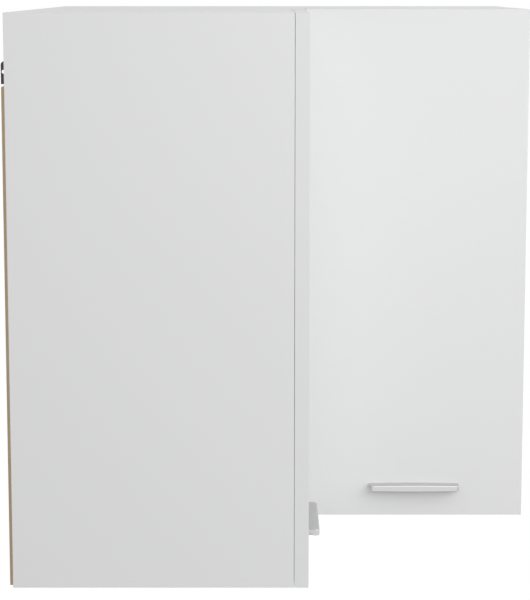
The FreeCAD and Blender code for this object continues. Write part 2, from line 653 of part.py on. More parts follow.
def strip(points, width, low, high):
    """A flat strip with rounded bends that follows a path in the hinge plane."""
    pieces = []
    for start, end in zip(points[:-1], points[1:]):
        along = (end - start).normalize()
        aside = FreeCAD.Vector(-along.y, along.x, 0) * (width / 2)
        corners = [start + aside, end + aside, end - aside, start - aside, start + aside]
        run = Part.Face(Part.makePolygon(corners)).extrude(FreeCAD.Vector(0, 0, high - low))
        run.translate(FreeCAD.Vector(0, 0, low))
        pieces.append(run)
    pieces += [barrel(bend, width / 2, low, high) for bend in points]
    return pieces[0].multiFuse(pieces[1:])


def shape_object(name, shape):
    item = DOCUMENT.addObject("Part::Feature", name)
    item.Shape = shape.removeSplitter()
    return item


def pivots():
    """The four pivots of the hinge with its door closed."""
    return {name: point(size(name + "_out"), size(name + "_in"))
            for name in ("outer_arm", "outer_cup", "inner_arm", "inner_cup")}


def make_outer_link():
    """Two cranked side plates with an eye at the cup, joined by a barrel on the arm pin."""
    spot = pivots()
    half = size("outer_link_width") / 2
    plate = size("outer_link_plate")
    first_bend = spot["outer_cup"] + point(size("outer_bend_near_out"), size("outer_bend_near_in"))
    second_bend = spot["outer_cup"] + point(size("outer_bend_far_out"), size("outer_bend_far_in"))
    path = [spot["outer_cup"], first_bend, second_bend, spot["outer_arm"]]
    pieces = []
    for low in (-half, half - plate):
        pieces.append(strip(path, size("link_thickness"), low, low + plate))
        pieces.append(barrel(spot["outer_cup"], size("link_eye_radius"), low, low + plate))
    web_start = second_bend + (spot["outer_arm"] - second_bend) * size("link_web_share")
    pieces.append(strip([web_start, spot["outer_arm"]], size("link_thickness"), -half, half))
    pieces.append(barrel(spot["outer_arm"], size("link_barrel_radius"), -half, half))
    shape = pieces[0].multiFuse(pieces[1:])
    hole = size("link_pin_radius") + size("link_pin_play")
    for centre in (spot["outer_cup"], spot["outer_arm"]):
        shape = shape.cut(barrel(centre, hole, -half - OVERCUT, half + OVERCUT))
    return shape_object("outer_link_master", shape)


def make_inner_link():
    """A cranked bar with a close eye on the cup pin and an open eye round the arm pin."""
    spot = pivots()
    half = size("inner_link_width") / 2
    bend = spot["inner_cup"] + point(size("inner_bend_out"), size("inner_bend_in"))
    pieces = [strip([spot["inner_cup"], bend, spot["inner_arm"]],
                    size("link_thickness"), -half, half),
              barrel(spot["inner_cup"], size("link_eye_radius"), -half, half),
              barrel(spot["inner_arm"], size("open_eye_radius"), -half, half)]
    shape = pieces[0].multiFuse(pieces[1:])
    hole = size("link_pin_radius") + size("link_pin_play")
    low, high = -half - OVERCUT, half + OVERCUT
    shape = shape.cut(barrel(spot["inner_cup"], hole, low, high))
    shape = shape.cut(barrel(spot["inner_arm"], size("open_eye_hole"), low, high))
    return shape_object("inner_link_master", shape)


def make_hinge_arm():
    """A bent channel: two side walls with the fixed pivots and a web along their upper edge."""
    spot = pivots()
    inner_half = size("outer_link_width") / 2 + size("arm_play")
    outer_half = inner_half + size("arm_wall")
    wall_thickness = size("arm_wall")
    floor = size("board") + size("plate_thickness") + size("arm_lift")
    rear = -size("arm_rear")
    rear_top = (size("board") + size("plate_thickness") + size("plate_guide_height")
                + wall_thickness)
    crest = spot["outer_arm"].y + size("arm_crest_rise")
    nose = size("arm_nose_radius")
    outline = [point(rear, floor), point(rear, rear_top),
               point(-size("arm_slope_start"), rear_top),
               point(spot["outer_arm"].x - size("arm_crest_rear"), crest),
               point(spot["outer_arm"].x + size("arm_crest_front"), crest),
               point(size("arm_shoulder_out"), spot["outer_arm"].y - size("arm_shoulder_drop")),
               spot["inner_arm"] + point(size("arm_brow_out"), size("arm_brow_in")),
               spot["inner_arm"] + point(nose, 0), spot["inner_arm"] + point(0, -nose),
               point(-size("arm_belly_front"), spot["inner_arm"].y - nose),
               point(-size("arm_belly_rear"), floor)]
    walls = []
    for low in (-outer_half, inner_half):
        face = Part.Face(Part.makePolygon(outline + outline[:1]))
        wall = face.extrude(FreeCAD.Vector(0, 0, wall_thickness))
        wall.translate(FreeCAD.Vector(0, 0, low))
        walls.append(wall)
        walls.append(barrel(spot["inner_arm"], nose, low, low + wall_thickness))
    drop = point(0, -wall_thickness / 2)
    crest_path = [corner + drop for corner in outline[1:5]]
    walls.append(strip(crest_path, wall_thickness, -outer_half, outer_half))
    shape = walls[0].multiFuse(walls[1:])
    for name in ("outer_arm", "inner_arm"):
        shape = shape.cut(barrel(spot[name], size("link_pin_radius") + size("pin_hole_play"),
                                 -outer_half - OVERCUT, outer_half + OVERCUT))
    for alias in ("arm_screw_front", "arm_screw_rear"):
        screw_hole = Part.makeCylinder(size("arm_screw_radius") + size("drill_clearance"),
                                       crest + OVERCUT, point(-size(alias), 0),
                                       FreeCAD.Vector(0, 1, 0))
        shape = shape.cut(screw_hole)
    return shape_object("hinge_arm_master", shape)


def make_hinge_plate():
    """The base screwed to the end panel: a spine, two wings and a raised guide for the arm."""
    body = new_body("hinge_plate_master")
    rear = "-(plate_screw_out + plate_length / 2)"
    front = "-(plate_screw_out - plate_length / 2)"
    pad_outline(body, "XZ_Plane", rectangle(rear, "-plate_spine_width / 2",
                                            front, "plate_spine_width / 2"),
                "plate_thickness", lift="-board", reversed_way=True)
    pad_outline(body, "XZ_Plane",
                rectangle("-plate_screw_out - plate_wing_width / 2", "-plate_wing_length / 2",
                          "-plate_screw_out + plate_wing_width / 2", "plate_wing_length / 2"),
                "plate_thickness", lift="-board", reversed_way=True)
    wing_end = size("plate_wing_length") / 2 - NEAR
    wing_side = size("plate_wing_width") / 2 - NEAR
    round_edges(body, "plate_rounding", lambda at: abs(at.z) > wing_end
                and abs(at.x + size("plate_screw_out")) > wing_side)
    pad_outline(body, "XZ_Plane",
                rectangle(rear + " + plate_guide_setback", "-plate_guide_width / 2",
                          front + " - plate_guide_setback", "plate_guide_width / 2"),
                "plate_guide_height", lift="-board - plate_thickness", reversed_way=True)
    holes = [("-plate_screw_out", way + "plate_screw_spacing / 2",
              "plate_screw_radius + drill_clearance") for way in ("", "-")]
    pocket_circles(body, "XZ_Plane", holes, "plate_thickness", lift="-board - plate_thickness",
                   reversed_way=True)
    threads = [("-" + alias, "0", "arm_screw_radius + drill_clearance")
               for alias in ("arm_screw_front", "arm_screw_rear")]
    pocket_circles(body, "XZ_Plane", threads, "arm_screw_grip + drill_depth_room",
                   lift="-board - plate_thickness - plate_guide_height", reversed_way=True)
    return body


def make_cup():
    """The cup sunk into the door, with its flange, wings, mouth and the notch for the links."""
    body = new_body("hinge_cup_master")
    centre = ("cup_in", "0")
    pad_circles(body, "YZ_Plane", [centre + ("cup_radius",)], "cup_depth", lift="door_gap")
    pad_circles(body, "YZ_Plane", [centre + ("cup_flange_radius",)], "cup_flange",
                lift="door_gap - cup_flange")
    wing_low = "cup_in + cup_screw_offset - cup_wing_width / 2"
    wing_high = "cup_in + cup_screw_offset + cup_wing_width / 2"
    pad_outline(body, "YZ_Plane", rectangle(wing_low, "-cup_wing_length / 2",
                                            wing_high, "cup_wing_length / 2"),
                "cup_flange", lift="door_gap - cup_flange")
    mouth = "cup_mouth / 2"
    pocket_outline(body, "YZ_Plane",
                   rectangle("cup_in - cup_radius + cup_rim_near", "-" + mouth,
                             "cup_in + cup_radius - cup_rim_far", mouth),
                   "cup_depth + cup_flange - cup_floor", lift="door_gap - cup_flange",
                   reversed_way=True)
    notch = "cup_notch / 2"
    pocket_outline(body, "YZ_Plane",
                   rectangle("0", "-" + notch,
                             "cup_in - cup_radius + cup_rim_near + cup_notch_overlap", notch),
                   "cup_notch_depth + cup_flange", lift="door_gap - cup_flange",
                   reversed_way=True)
    for pin in ("outer_cup", "inner_cup"):
        pocket_circles(body, "XY_Plane",
                       [(pin + "_out", pin + "_in", "link_pin_radius + pin_hole_play")],
                       "cup_pin_length", midplane=True)
    holes = [("cup_in + cup_screw_offset", way + "cup_screw_spacing / 2",
              "cup_screw_radius + drill_clearance") for way in ("", "-")]
    pocket_circles(body, "YZ_Plane", holes, "cup_flange", lift="door_gap - cup_flange",
                   reversed_way=True)
    return body


def screw(name, radius, length, head_radius, head):
    """A pan-headed screw along Z with its head above height 0."""
    return turned(name, [
        ("0", "-(%s)" % length), (radius + " * screw_tip_share", "-(%s)" % length),
        (radius, "-(%s) + screw_tip_length" % length), (radius, "0"), (head_radius, "0"),
        (head_radius, head + " * screw_side_share"), (head_radius + " * screw_top_share", head),
        ("0", head)])


def make_hinges():
    """Two hinges for the left leg and their mirror images for the right leg."""
    outer_link = make_outer_link()
    inner_link = make_inner_link()
    arm = make_hinge_arm()
    plate = make_hinge_plate()
    cup = make_cup()
    levels = {"upper": "cabinet_height - hinge_inset", "lower": "hinge_inset"}
    masters = {"hinge_outer_link": outer_link, "hinge_inner_link": inner_link, "hinge_arm": arm,
               "hinge_plate": plate, "hinge_cup": cup}
    arm_half = "(outer_link_width / 2 + arm_play + arm_wall)"
    arm_pin = rod("arm_pin_master", "link_pin_radius", "2 * " + arm_half)
    cup_pin = rod("cup_pin_master", "link_pin_radius", "cup_pin_length")
    stub_start = "(outer_link_width / 2 - outer_link_plate - cup_stub_overlap)"
    cup_stub = rod("cup_stub_master", "link_pin_radius", "cup_pin_length / 2 - " + stub_start)
    plate_screw = screw("plate_screw_master", "plate_screw_radius", "plate_screw_length",
                        "plate_screw_head_radius", "plate_screw_head")
    arm_screw = screw("arm_screw_master", "arm_screw_radius", "arm_screw_grip + arm_wall",
                      "arm_screw_head_radius", "arm_screw_head")
    cup_screw = screw("cup_screw_master", "cup_screw_radius", "cup_screw_length",
                      "cup_screw_head_radius", "cup_screw_head")
    plate_drill = rod("plate_screw_drill", "plate_screw_radius + drill_clearance",
                      "plate_screw_length")
    cup_drill = rod("cup_drill", "cup_radius + drill_clearance", "cup_depth + drill_depth_room")
    cup_screw_drill = rod("cup_screw_drill", "cup_screw_radius + drill_clearance",
                          "cup_screw_length")
    front = FRONT
    end = OUTER_END
    plate_top = "board + plate_thickness"
    arm_screws, plate_screws, arm_pins, cup_pins, cup_screws = [], [], [], [], []
    panel_drills, door_drills = [], []
    for level, z in levels.items():
        spot = {"x": front, "y": end, "z": z}
        for kind, master in masters.items():
            node = group("%s_left_%s" % (kind, level),
                         [copy_of(master, "%s_%s_copy" % (kind, level), **spot)])
            mirror("%s_right_%s" % (kind, level), node)
        for pin in ("outer_arm", "inner_arm"):
            arm_pins.append(copy_of(arm_pin, "arm_pin_%s_%s" % (pin, level),
                                    x="%s + %s_out" % (front, pin), y="%s + %s_in" % (end, pin),
                                    z="%s - %s" % (z, arm_half)))
        cup_pins.append(copy_of(cup_pin, "cup_pin_%s" % level, x=front + " + inner_cup_out",
                                y=end + " + inner_cup_in", z=z + " - cup_pin_length / 2"))
        for side, base in (("up", z + " + " + stub_start), ("down", z + " - cup_pin_length / 2")):
            cup_pins.append(copy_of(cup_stub, "cup_stub_%s_%s" % (level, side),
                                    x=front + " + outer_cup_out", y=end + " + outer_cup_in",
                                    z=base))
        for i, alias in enumerate(("arm_screw_front", "arm_screw_rear")):
            arm_screws.append(copy_of(
                arm_screw, "arm_screw_%s%d" % (level, i), x=front + " - " + alias,
                y=end + " + %s + plate_guide_height + arm_wall" % plate_top, z=z,
                **TURN_TO_PLUS_Y))
        for i, way in enumerate((" + ", " - ")):
            plate_z = z + way + "plate_screw_spacing / 2"
            plate_x = front + " - plate_screw_out"
            plate_screws.append(copy_of(plate_screw, "plate_screw_%s%d" % (level, i), x=plate_x,
                                        y="%s + %s" % (end, plate_top), z=plate_z,
                                        **TURN_TO_PLUS_Y))
            panel_drills.append(copy_of(
                plate_drill, "plate_drill_%s%d" % (level, i), x=plate_x, z=plate_z,
                y="%s + %s - plate_screw_length - drill_depth_room" % (end, plate_top),
                **TURN_TO_PLUS_Y))
            cup_z = z + way + "cup_screw_spacing / 2"
            cup_y = end + " + cup_in + cup_screw_offset"
            cup_screws.append(copy_of(cup_screw, "cup_screw_%s%d" % (level, i), y=cup_y, z=cup_z,
                                      x=front + " + door_gap - cup_flange", **TURN_TO_MINUS_X))
            door_drills.append(copy_of(cup_screw_drill, "cup_screw_drill_%s%d" % (level, i),
                                       x=front + " + door_gap", y=cup_y, z=cup_z,
                                       **TURN_TO_PLUS_X))
        door_drills.append(copy_of(cup_drill, "cup_drill_" + level, x=front + " + door_gap",
                                   y=end + " + cup_in", z=z, **TURN_TO_PLUS_X))
    both_sides("hinge_arm_screws", arm_screws)
    both_sides("hinge_plate_screws", plate_screws)
    both_sides("hinge_arm_pins", arm_pins)
    for kind, members in (("hinge_cup_pins", cup_pins), ("hinge_cup_screws", cup_screws)):
        left = group(kind + "_left", members)
        mirror(kind + "_right", left)
    return group("hinge_panel_drills", panel_drills), group("hinge_door_drills", door_drills)


# ---------------------------------------------------------------- doors and handles

def make_handle():
    """A pull: a flange along the top, a lip in front, and a block behind it at each screw."""
    blank = new_body("handle_blank")
    bottom = "-handle_height"
    flange = "-handle_flange"
    lip = "handle_reach - handle_lip"
    foot = "handle_foot_cove"
    foot_low = flange + " - " + foot
    profile = [("0", "0"), ("handle_reach", "0"), ("handle_reach", bottom), (lip, bottom),
               (lip, flange), (foot, flange), (foot, foot_low), ("0", foot_low)]
    pad_outline(blank, "XZ_Plane", profile, "handle_length", midplane=True)
    pocket_circles(blank, "XZ_Plane", [(foot, foot_low, foot)], "handle_length", midplane=True)
    reach = size("handle_reach")
    end = size("handle_length") / 2 - NEAR
    lip_inner = reach - size("handle_lip")
    flange_low = -size("handle_flange")
    round_edges(blank, "handle_lip_cove",
                lambda at: abs(at.x - lip_inner) < NEAR and abs(at.z - flange_low) < NEAR)
    block = rectangle("0", "-handle_block", lip + " - handle_lip_cove", "-handle_flange / 2")
    block_start = SCREW_TO_MIDDLE + " - handle_block_length / 2"
    pad_outline(blank, "XZ_Plane", block, "handle_block_length", lift=block_start)
    pad_outline(blank, "XZ_Plane", block, "handle_block_length", lift="-(%s)" % block_start,
                reversed_way=True)
    round_edges(blank, "handle_end_rounding",
                lambda at: at.x > reach - NEAR and abs(at.y) > end)
    corner = size("handle_end_rounding") + NEAR
    round_edges(blank, "handle_rounding",
                lambda at: at.x > reach - corner and at.z > -NEAR
                and (at.x > reach - NEAR or abs(at.y) > end - corner))
    threads = [(way + SCREW_TO_MIDDLE, "-handle_screw_drop",
                "handle_screw_radius + drill_clearance") for way in ("", "-")]
    pocket_circles(blank, "YZ_Plane", threads, "handle_screw_grip", reversed_way=True)
    middle = OUTER_END + " + %s / 2" % DOOR_WIDTH
    door_front = DOOR_BACK + " + door_thickness"
    place(blank, x=door_front, y=middle, z="handle_top")

    bows = []
    for name, rise, sense in (("handle_crown", "handle_crown", "-"),
                              ("handle_lip_bow", "handle_lip_rise", "+")):
        radius = "(((handle_length / 2) ^ 2 + %s ^ 2) / (2 * %s))" % (rise, rise)
        level = "handle_top" if sense == "-" else "handle_top - handle_height"
        bow = rod(name + "_curve", radius, "handle_reach + 2 * handle_lip")
        bows.append(place(bow, x=door_front + " - handle_lip", y=middle,
                          z="%s %s %s" % (level, sense, radius), **TURN_TO_PLUS_X))
    handle = DOCUMENT.addObject("Part::MultiCommon", "handle_left")
    handle.Label = "handle_left"
    handle.Shapes = [blank] + bows
    mirror("handle_right", handle)


def make_door(hinge_drills):
    blank = new_body("door_blank")
    pad_outline(blank, "XY_Plane", rectangle("0", "0", "door_thickness", DOOR_WIDTH),
                "cabinet_height")
    place(blank, x=DOOR_BACK, y=OUTER_END)
    handle_drill = rod("handle_drill", "handle_screw_radius + handle_drill_play",
                       "door_thickness")
    bolt = screw("handle_screw_master", "handle_screw_radius",
                 "door_thickness + handle_screw_grip - handle_screw_gap",
                 "handle_head_radius", "handle_head_thickness")
    drills = [hinge_drills]
    screws = []
    for i, way in enumerate((" + ", " - ")):
        spot = {"y": OUTER_END + " + %s / 2" % DOOR_WIDTH + way + SCREW_TO_MIDDLE,
                "z": "handle_top - handle_screw_drop"}
        drills.append(copy_of(handle_drill, "handle_drill%d" % i, x=DOOR_BACK, **spot,
                              **TURN_TO_PLUS_X))
        screws.append(copy_of(bolt, "handle_screw%d" % i, x=DOOR_BACK, **spot,
                              **TURN_TO_MINUS_X))
    left_door = drilled("door_left", blank, drills)
    mirror("door_right", left_door)
    mirror("handle_screws_right", group("handle_screws_left", screws))

    bumper = rod("bumper_master", "bumper_radius", "bumper_thickness")
    bumpers = [copy_of(bumper, "bumper%d" % i, x=DOOR_BACK + " - bumper_thickness",
                       y=OUTER_END + " + %s - bumper_inset" % DOOR_WIDTH, z=z, **TURN_TO_PLUS_X)
               for i, z in enumerate(("board / 2", "cabinet_height - board / 2"))]
    mirror("door_bumpers_right", group("door_bumpers_left", bumpers))


# ---------------------------------------------------------------- assembly and output

SIDED = ["end_panel", "back_panel", "hanging_rail", "hanger_housing", "hanger_hook", "door",
         "handle", "handle_screws", "door_bumpers", "hinge_cup_pins", "hinge_cup_screws"]
HINGED = ["hinge_plate", "hinge_arm", "hinge_outer_link", "hinge_inner_link", "hinge_cup"]
SINGLE = ["top_panel", "bottom_panel", "shelf", "rear_corner_post", "cam_locks", "cam_bolts",
          "cam_covers", "wood_dowels", "back_panel_nails", "shelf_pins", "hanger_screws",
          "hinge_arm_screws", "hinge_plate_screws", "hinge_arm_pins"]


def node_names():
    names = list(SINGLE)
    for side in ("left", "right"):
        names += ["%s_%s" % (kind, side) for kind in SIDED]
        names += ["%s_%s_%s" % (kind, side, level)
                  for kind in HINGED for level in ("upper", "lower")]
    return names


def check_and_write():
    """Make sure that every feature and every piece is sound, then write the pieces."""
    for item in DOCUMENT.Objects:
        if "Invalid" in item.State or "Error" in item.State:
            raise ValueError("%s failed: %s" % (item.Name, item.State))
    nodes = {name: DOCUMENT.getObject(name) for name in node_names()}
    for name, node in nodes.items():
        if node is None or node.Shape.isNull() or not node.Shape.isValid():
            raise ValueError(name + " has no sound shape")
    os.makedirs("parts", exist_ok=True)
    for name, node in nodes.items():
        node.Shape.exportStep("parts/%s.step" % name)
        print("%-26s %2d solids %12.1f mm3" % (name, len(node.Shape.Solids), node.Shape.Volume))


def main():
    write_sizes()
    joint_drills = make_knock_down_joints()
    nail_drills = make_nails()
    pin_drills = make_shelf_pins()
    hanger_drills = make_hangers()
    panel_drills, door_drills = make_hinges()
    make_boards(joint_drills, nail_drills, pin_drills, panel_drills, hanger_drills)
    make_door(door_drills)
    make_handle()
    DOCUMENT.recompute()
    check_and_write()


main()
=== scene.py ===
"""The looks of a white corner wall cabinet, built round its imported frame.

Lengths are in metres, in the frame's own axes: the room corner stands over the origin, the left
leg runs along -Y with its door facing +X, and the right leg runs along +X with its door facing -Y.
"""

import math

import bmesh
import bpy
from mathutils import Matrix, Vector


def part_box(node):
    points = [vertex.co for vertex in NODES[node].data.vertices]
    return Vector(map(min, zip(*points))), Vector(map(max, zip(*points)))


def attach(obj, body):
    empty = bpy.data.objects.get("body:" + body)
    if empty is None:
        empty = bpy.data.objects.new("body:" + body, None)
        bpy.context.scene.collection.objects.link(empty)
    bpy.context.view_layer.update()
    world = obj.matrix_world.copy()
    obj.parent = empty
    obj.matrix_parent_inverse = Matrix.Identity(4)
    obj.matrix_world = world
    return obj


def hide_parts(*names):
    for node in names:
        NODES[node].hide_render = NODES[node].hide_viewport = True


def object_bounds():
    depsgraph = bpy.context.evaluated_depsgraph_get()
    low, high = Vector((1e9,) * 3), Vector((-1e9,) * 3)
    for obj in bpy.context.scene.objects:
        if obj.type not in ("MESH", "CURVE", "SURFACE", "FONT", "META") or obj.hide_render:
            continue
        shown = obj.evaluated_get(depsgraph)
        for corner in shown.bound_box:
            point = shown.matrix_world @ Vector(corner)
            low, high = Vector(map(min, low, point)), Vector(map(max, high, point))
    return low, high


bl_info = {
    "name": "Corner Wall Cabinet",
    "version": (1, 0, 0),
    "blender": (4, 5, 0),
    "location": "View3D > Sidebar > Cabinet",
    "description": "Dresses the boards, handles, hinges and fittings of a corner wall cabinet",
    "category": "Object",
}

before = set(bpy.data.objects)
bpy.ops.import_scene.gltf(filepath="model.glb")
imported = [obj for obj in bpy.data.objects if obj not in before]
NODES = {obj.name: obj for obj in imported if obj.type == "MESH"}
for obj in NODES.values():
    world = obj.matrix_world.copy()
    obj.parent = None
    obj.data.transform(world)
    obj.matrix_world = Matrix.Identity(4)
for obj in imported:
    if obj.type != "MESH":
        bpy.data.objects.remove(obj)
CAD_BOX = [list(corner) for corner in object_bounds()]
SIDES = ("left", "right")
LEVELS = ("upper", "lower")
CARCASS = "carcass"
NEAR = 0.00001              # how far apart two places may lie that are the same


# ---- sizes and colours to change

def length(name, description, default):
    return bpy.props.FloatProperty(name=name, description=description, default=default,
                                   min=0.0, subtype="DISTANCE", unit="LENGTH", precision=5)


def colour(name, description, default):
    return bpy.props.FloatVectorProperty(name=name, description=description, default=default,
                                         size=3, min=0.0, max=1.0, subtype="COLOR")


def amount(name, description, default, high=1.0):
    return bpy.props.FloatProperty(name=name, description=description, default=default,
                                   min=0.0, max=high)


def count(name, description, default):
    return bpy.props.IntProperty(name=name, description=description, default=default, min=1)


class CABINET_PG_boards(bpy.types.PropertyGroup):
    """Sizes and colours of the boards and the backs"""
    rounding: length("Edge rounding", "Radius of the edge band along a board's edges", 0.00025)
    proud: length("Band step", "How far the bands on the front edges stand out to the doors",
                  0.0006)
    face: colour("Laminate", "Colour of the white faces", (0.86, 0.862, 0.866))
    band: colour("Edge band", "Colour of the thin strip glued to the edges", (0.845, 0.848, 0.852))
    core: colour("Core", "Colour of the bare particle board", (0.56, 0.43, 0.29))
    fibre: colour("Back", "Colour of the bare side of the hardboard", (0.44, 0.325, 0.21))
    lacquer: colour("Back inside", "Colour of the painted side of the hardboard",
                    (0.80, 0.80, 0.795))


class CABINET_PG_handles(bpy.types.PropertyGroup):
    """Form and colour of the two bar handles"""
    lip_rise: length("Lip rise", "How much shorter the lip is at the ends", 0.0006)
    crown: length("Crown", "How far the top falls from its middle to its ends", 0.0007)
    end_radius: length("End radius", "Radius of the front corners, seen from above", 0.0045)
    foot_cove: length("Foot cove", "Radius of the hollow where the underside meets the door",
                      0.0016)
    metal: colour("Metal", "Colour of the satin metal", (0.64, 0.64, 0.635))
    # Underside colour is painted shade: a darker metal for the faces below the handle, where shade
    # falls.
    under: colour("Underside", "Colour of the metal below, which is left unbrushed",
                  (0.34, 0.34, 0.335))


class CABINET_PG_fittings(bpy.types.PropertyGroup):
    """Sizes and colours of the hinges, hangers, screws, pins, cams and dowels"""
    rounding: length("Edge break", "Small radius on pressed metal edges", 0.00022)
    hook_edge: length("Hook edge", "Small radius on the hook plates", 0.0003)
    housing_edge: length("Housing edge", "Small radius on the hanger housings", 0.0005)
    pitch: length("Thread pitch", "Distance from one turn of a thread to the next", 0.0018)
    recess: length("Recess", "Depth of the cross in a screw head", 0.0011)
    flutes: count("Flutes", "Grooves round a wooden dowel", 14)
    nickel: colour("Nickel", "Colour of the hinges and pins", (0.76, 0.745, 0.71))
    zinc: colour("Zinc", "Colour of screws and nails", (0.66, 0.675, 0.69))
    plastic: colour("Plastic", "Colour of covers and hanger housings", (0.80, 0.80, 0.79))
    hook: colour("Hook", "Colour of the dark hanger hooks", (0.075, 0.078, 0.084))
    beech: colour("Beech", "Colour of the dowels", (0.62, 0.43, 0.25))


class CABINET_PG_stage(bpy.types.PropertyGroup):
    """Camera and studio"""
    lens: bpy.props.FloatProperty(name="Lens", description="Focal length in millimetres",
                                  default=106.65, min=1.0)
    floor_drop: length("Floor", "How far the floor lies below the hung cabinet", 1.4)
    key: amount("Key light", "Power of the light in front on the right, in watts", 14.0, 1000.0)
    fill: amount("Fill light", "Power of the light beside the camera, in watts", 12.0, 1000.0)
    sky: amount("Surround", "Strength of the even light from all round", 0.5, 10.0)


# ---- node trees as arithmetic

def adds(operation, reflected=False):
    """An operator of Wire, which adds the Math node that works it out."""
    if reflected:
        return lambda wire, other: wire.math(operation, other, wire)
    return lambda wire, other: wire.math(operation, wire, other)


class Wire:
    """A socket of a node tree. Arithmetic on it adds the Math nodes that work it out."""
    __add__, __radd__ = adds("ADD"), adds("ADD", reflected=True)
    __sub__, __rsub__ = adds("SUBTRACT"), adds("SUBTRACT", reflected=True)
    __mul__, __rmul__ = adds("MULTIPLY"), adds("MULTIPLY", reflected=True)
    __truediv__, __rtruediv__ = adds("DIVIDE"), adds("DIVIDE", reflected=True)

    def __init__(self, bench, socket):
        self.bench = bench
        self.socket = socket

    def math(self, operation, *values):
        return self.bench.add("ShaderNodeMath", {"operation": operation}, dict(enumerate(values)))

    def __neg__(self):
        return self * -1.0

    def sine(self):
        return self.math("SINE", self)

    def cosine(self):
        return self.math("COSINE", self)

    def rounded(self):
        return self.math("ROUND", self)

    def between(self, low, high):
        """0 below low, 1 above high, and a soft step from one to the other."""
        return self.bench.add("ShaderNodeMapRange", {"interpolation_type": "SMOOTHSTEP"},
                              {"Value": self, "From Min": low, "From Max": high}, "Result")


class Bench:
    """A node tree that is being built."""

    def __init__(self, tree):
        self.tree = tree

    def put(self, socket, value):
        """Give a socket a value, a wire, or a list of wires where it takes several."""
        if isinstance(value, list):
            for wire in reversed(value):
                self.put(socket, wire)
        elif isinstance(value, Wire):
            self.tree.links.new(value.socket, socket)
        else:
            socket.default_value = value

    def add(self, kind, settings=None, inputs=None, output=0):
        """One node: its settings first, then its sockets, then the output that is wanted."""
        node = self.tree.nodes.new(kind)
        for name, value in (settings or {}).items():
            if name == "stops":
                self.set_stops(node.color_ramp, value)
            else:
                setattr(node, name, value)
        for name, value in (inputs or {}).items():
            self.put(node.inputs[name], value)
        return Wire(self, node.outputs[output])

    def vector(self, x=0.0, y=0.0, z=0.0):
        return self.add("ShaderNodeCombineXYZ", None, {"X": x, "Y": y, "Z": z})

    @staticmethod
    def set_stops(ramp, stops):
        while len(ramp.elements) < len(stops):
            ramp.elements.new(0.5)
        for element, (position, tint) in zip(ramp.elements, stops):
            element.position = position
            element.color = (*tint, 1.0)


class Finish(Bench):
    """A material whose pattern is drawn on the piece's own coordinates, in metres."""

    def __init__(self, name, **constants):
        self.material = bpy.data.materials.new(name)
        self.material.use_nodes = True
        super().__init__(self.material.node_tree)
        self.shader = self.tree.nodes["Principled BSDF"]
        for socket, value in constants.items():
            self.put(self.shader.inputs[socket.replace("_", " ")], value)
        self.place = self.add("ShaderNodeTexCoord", output="Object")

    def stretched(self, x=1.0, y=1.0, z=1.0):
        return self.add("ShaderNodeMapping", None,
                        {"Vector": self.place, "Scale": (x, y, z)})

    def axis(self, name):
        return self.add("ShaderNodeSeparateXYZ", None, {"Vector": self.place}, name)

    def noise(self, scale, detail=2.0, rough=0.5, place=None):
        return self.add("ShaderNodeTexNoise", None,
                        {"Vector": place or self.place, "Scale": scale, "Detail": detail,
                         "Roughness": rough}, "Fac")

    def cells(self, scale, place=None, kind="F1", output="Distance"):
        return self.add("ShaderNodeTexVoronoi", {"feature": kind},
                        {"Vector": place or self.place, "Scale": scale}, output)

    def blend(self, factor, first, second):
        """Two colours mixed by a factor from 0 to 1."""
        return self.add("ShaderNodeMix", {"data_type": "RGBA"},
                        {0: factor, 6: self.rgba(first), 7: self.rgba(second)}, 2)

    @staticmethod
    def rgba(value):
        return value if isinstance(value, Wire) else (*value, 1.0)

    def ramp(self, factor, stops):
        return self.add("ShaderNodeValToRGB", {"stops": stops}, {0: factor}, "Color")

    def surface(self, tint, roughness, height, depth):
        """Paint it, with bumps as deep as the given length where the height goes from 0 to 1."""
        bump = self.add("ShaderNodeBump", None,
                        {"Height": height, "Distance": depth, "Strength": 1.0}, "Normal")
        for name, value in (("Base Color", tint), ("Roughness", roughness), ("Normal", bump)):
            self.put(self.shader.inputs[name], value)
        return self.material


def shade(base, factor):
    """A colour made lighter or darker."""
    return tuple(min(1.0, channel * factor) for channel in base)


# ---- finishes

def laminate_finish(base, name, ripple_depth):
    """Melamine paper: a faint leathery grain, and the chips below that just show through."""
    finish = Finish(name, Specular_IOR_Level=0.42)
    grain = finish.noise(1500.0, 2.0)
    ripple = finish.noise(55.0, 3.0)
    cloud = finish.noise(4.0, 1.0)
    tone = finish.blend(cloud, shade(base, 0.988), shade(base, 1.008))
    return finish.surface(finish.blend(grain * 0.05, tone, shade(base, 0.9)),
                          0.40 + grain * 0.08 + ripple * 0.03,
                          grain * 0.25 + ripple * 0.75, ripple_depth)


def core_finish(base):
    """Bare particle board: pressed chips, coarser in the middle, with dark bark between."""
    finish = Finish("particle_board", Roughness=0.85, Specular_IOR_Level=0.2)
    flat = finish.stretched(1.0, 1.0, 2.2)
    chip = finish.cells(620.0, flat, output="Color")
    edge = finish.cells(620.0, flat, kind="DISTANCE_TO_EDGE")
    pick = finish.add("ShaderNodeSeparateColor", None, {"Color": chip}, "Red")
    wood = finish.ramp(pick, [(0.0, shade(base, 0.55)), (0.35, shade(base, 0.9)),
                              (0.7, shade(base, 1.15)), (1.0, shade(base, 1.45))])
    seam = 1.0 - edge.between(0.0, 0.12)
    return finish.surface(finish.blend(seam * 0.6, wood, shade(base, 0.42)),
                          0.8 + pick * 0.15,
                          edge + pick * 0.6, 0.00012)


SCREEN_PITCH = 0.0013       # from one wire of the press's screen to the next


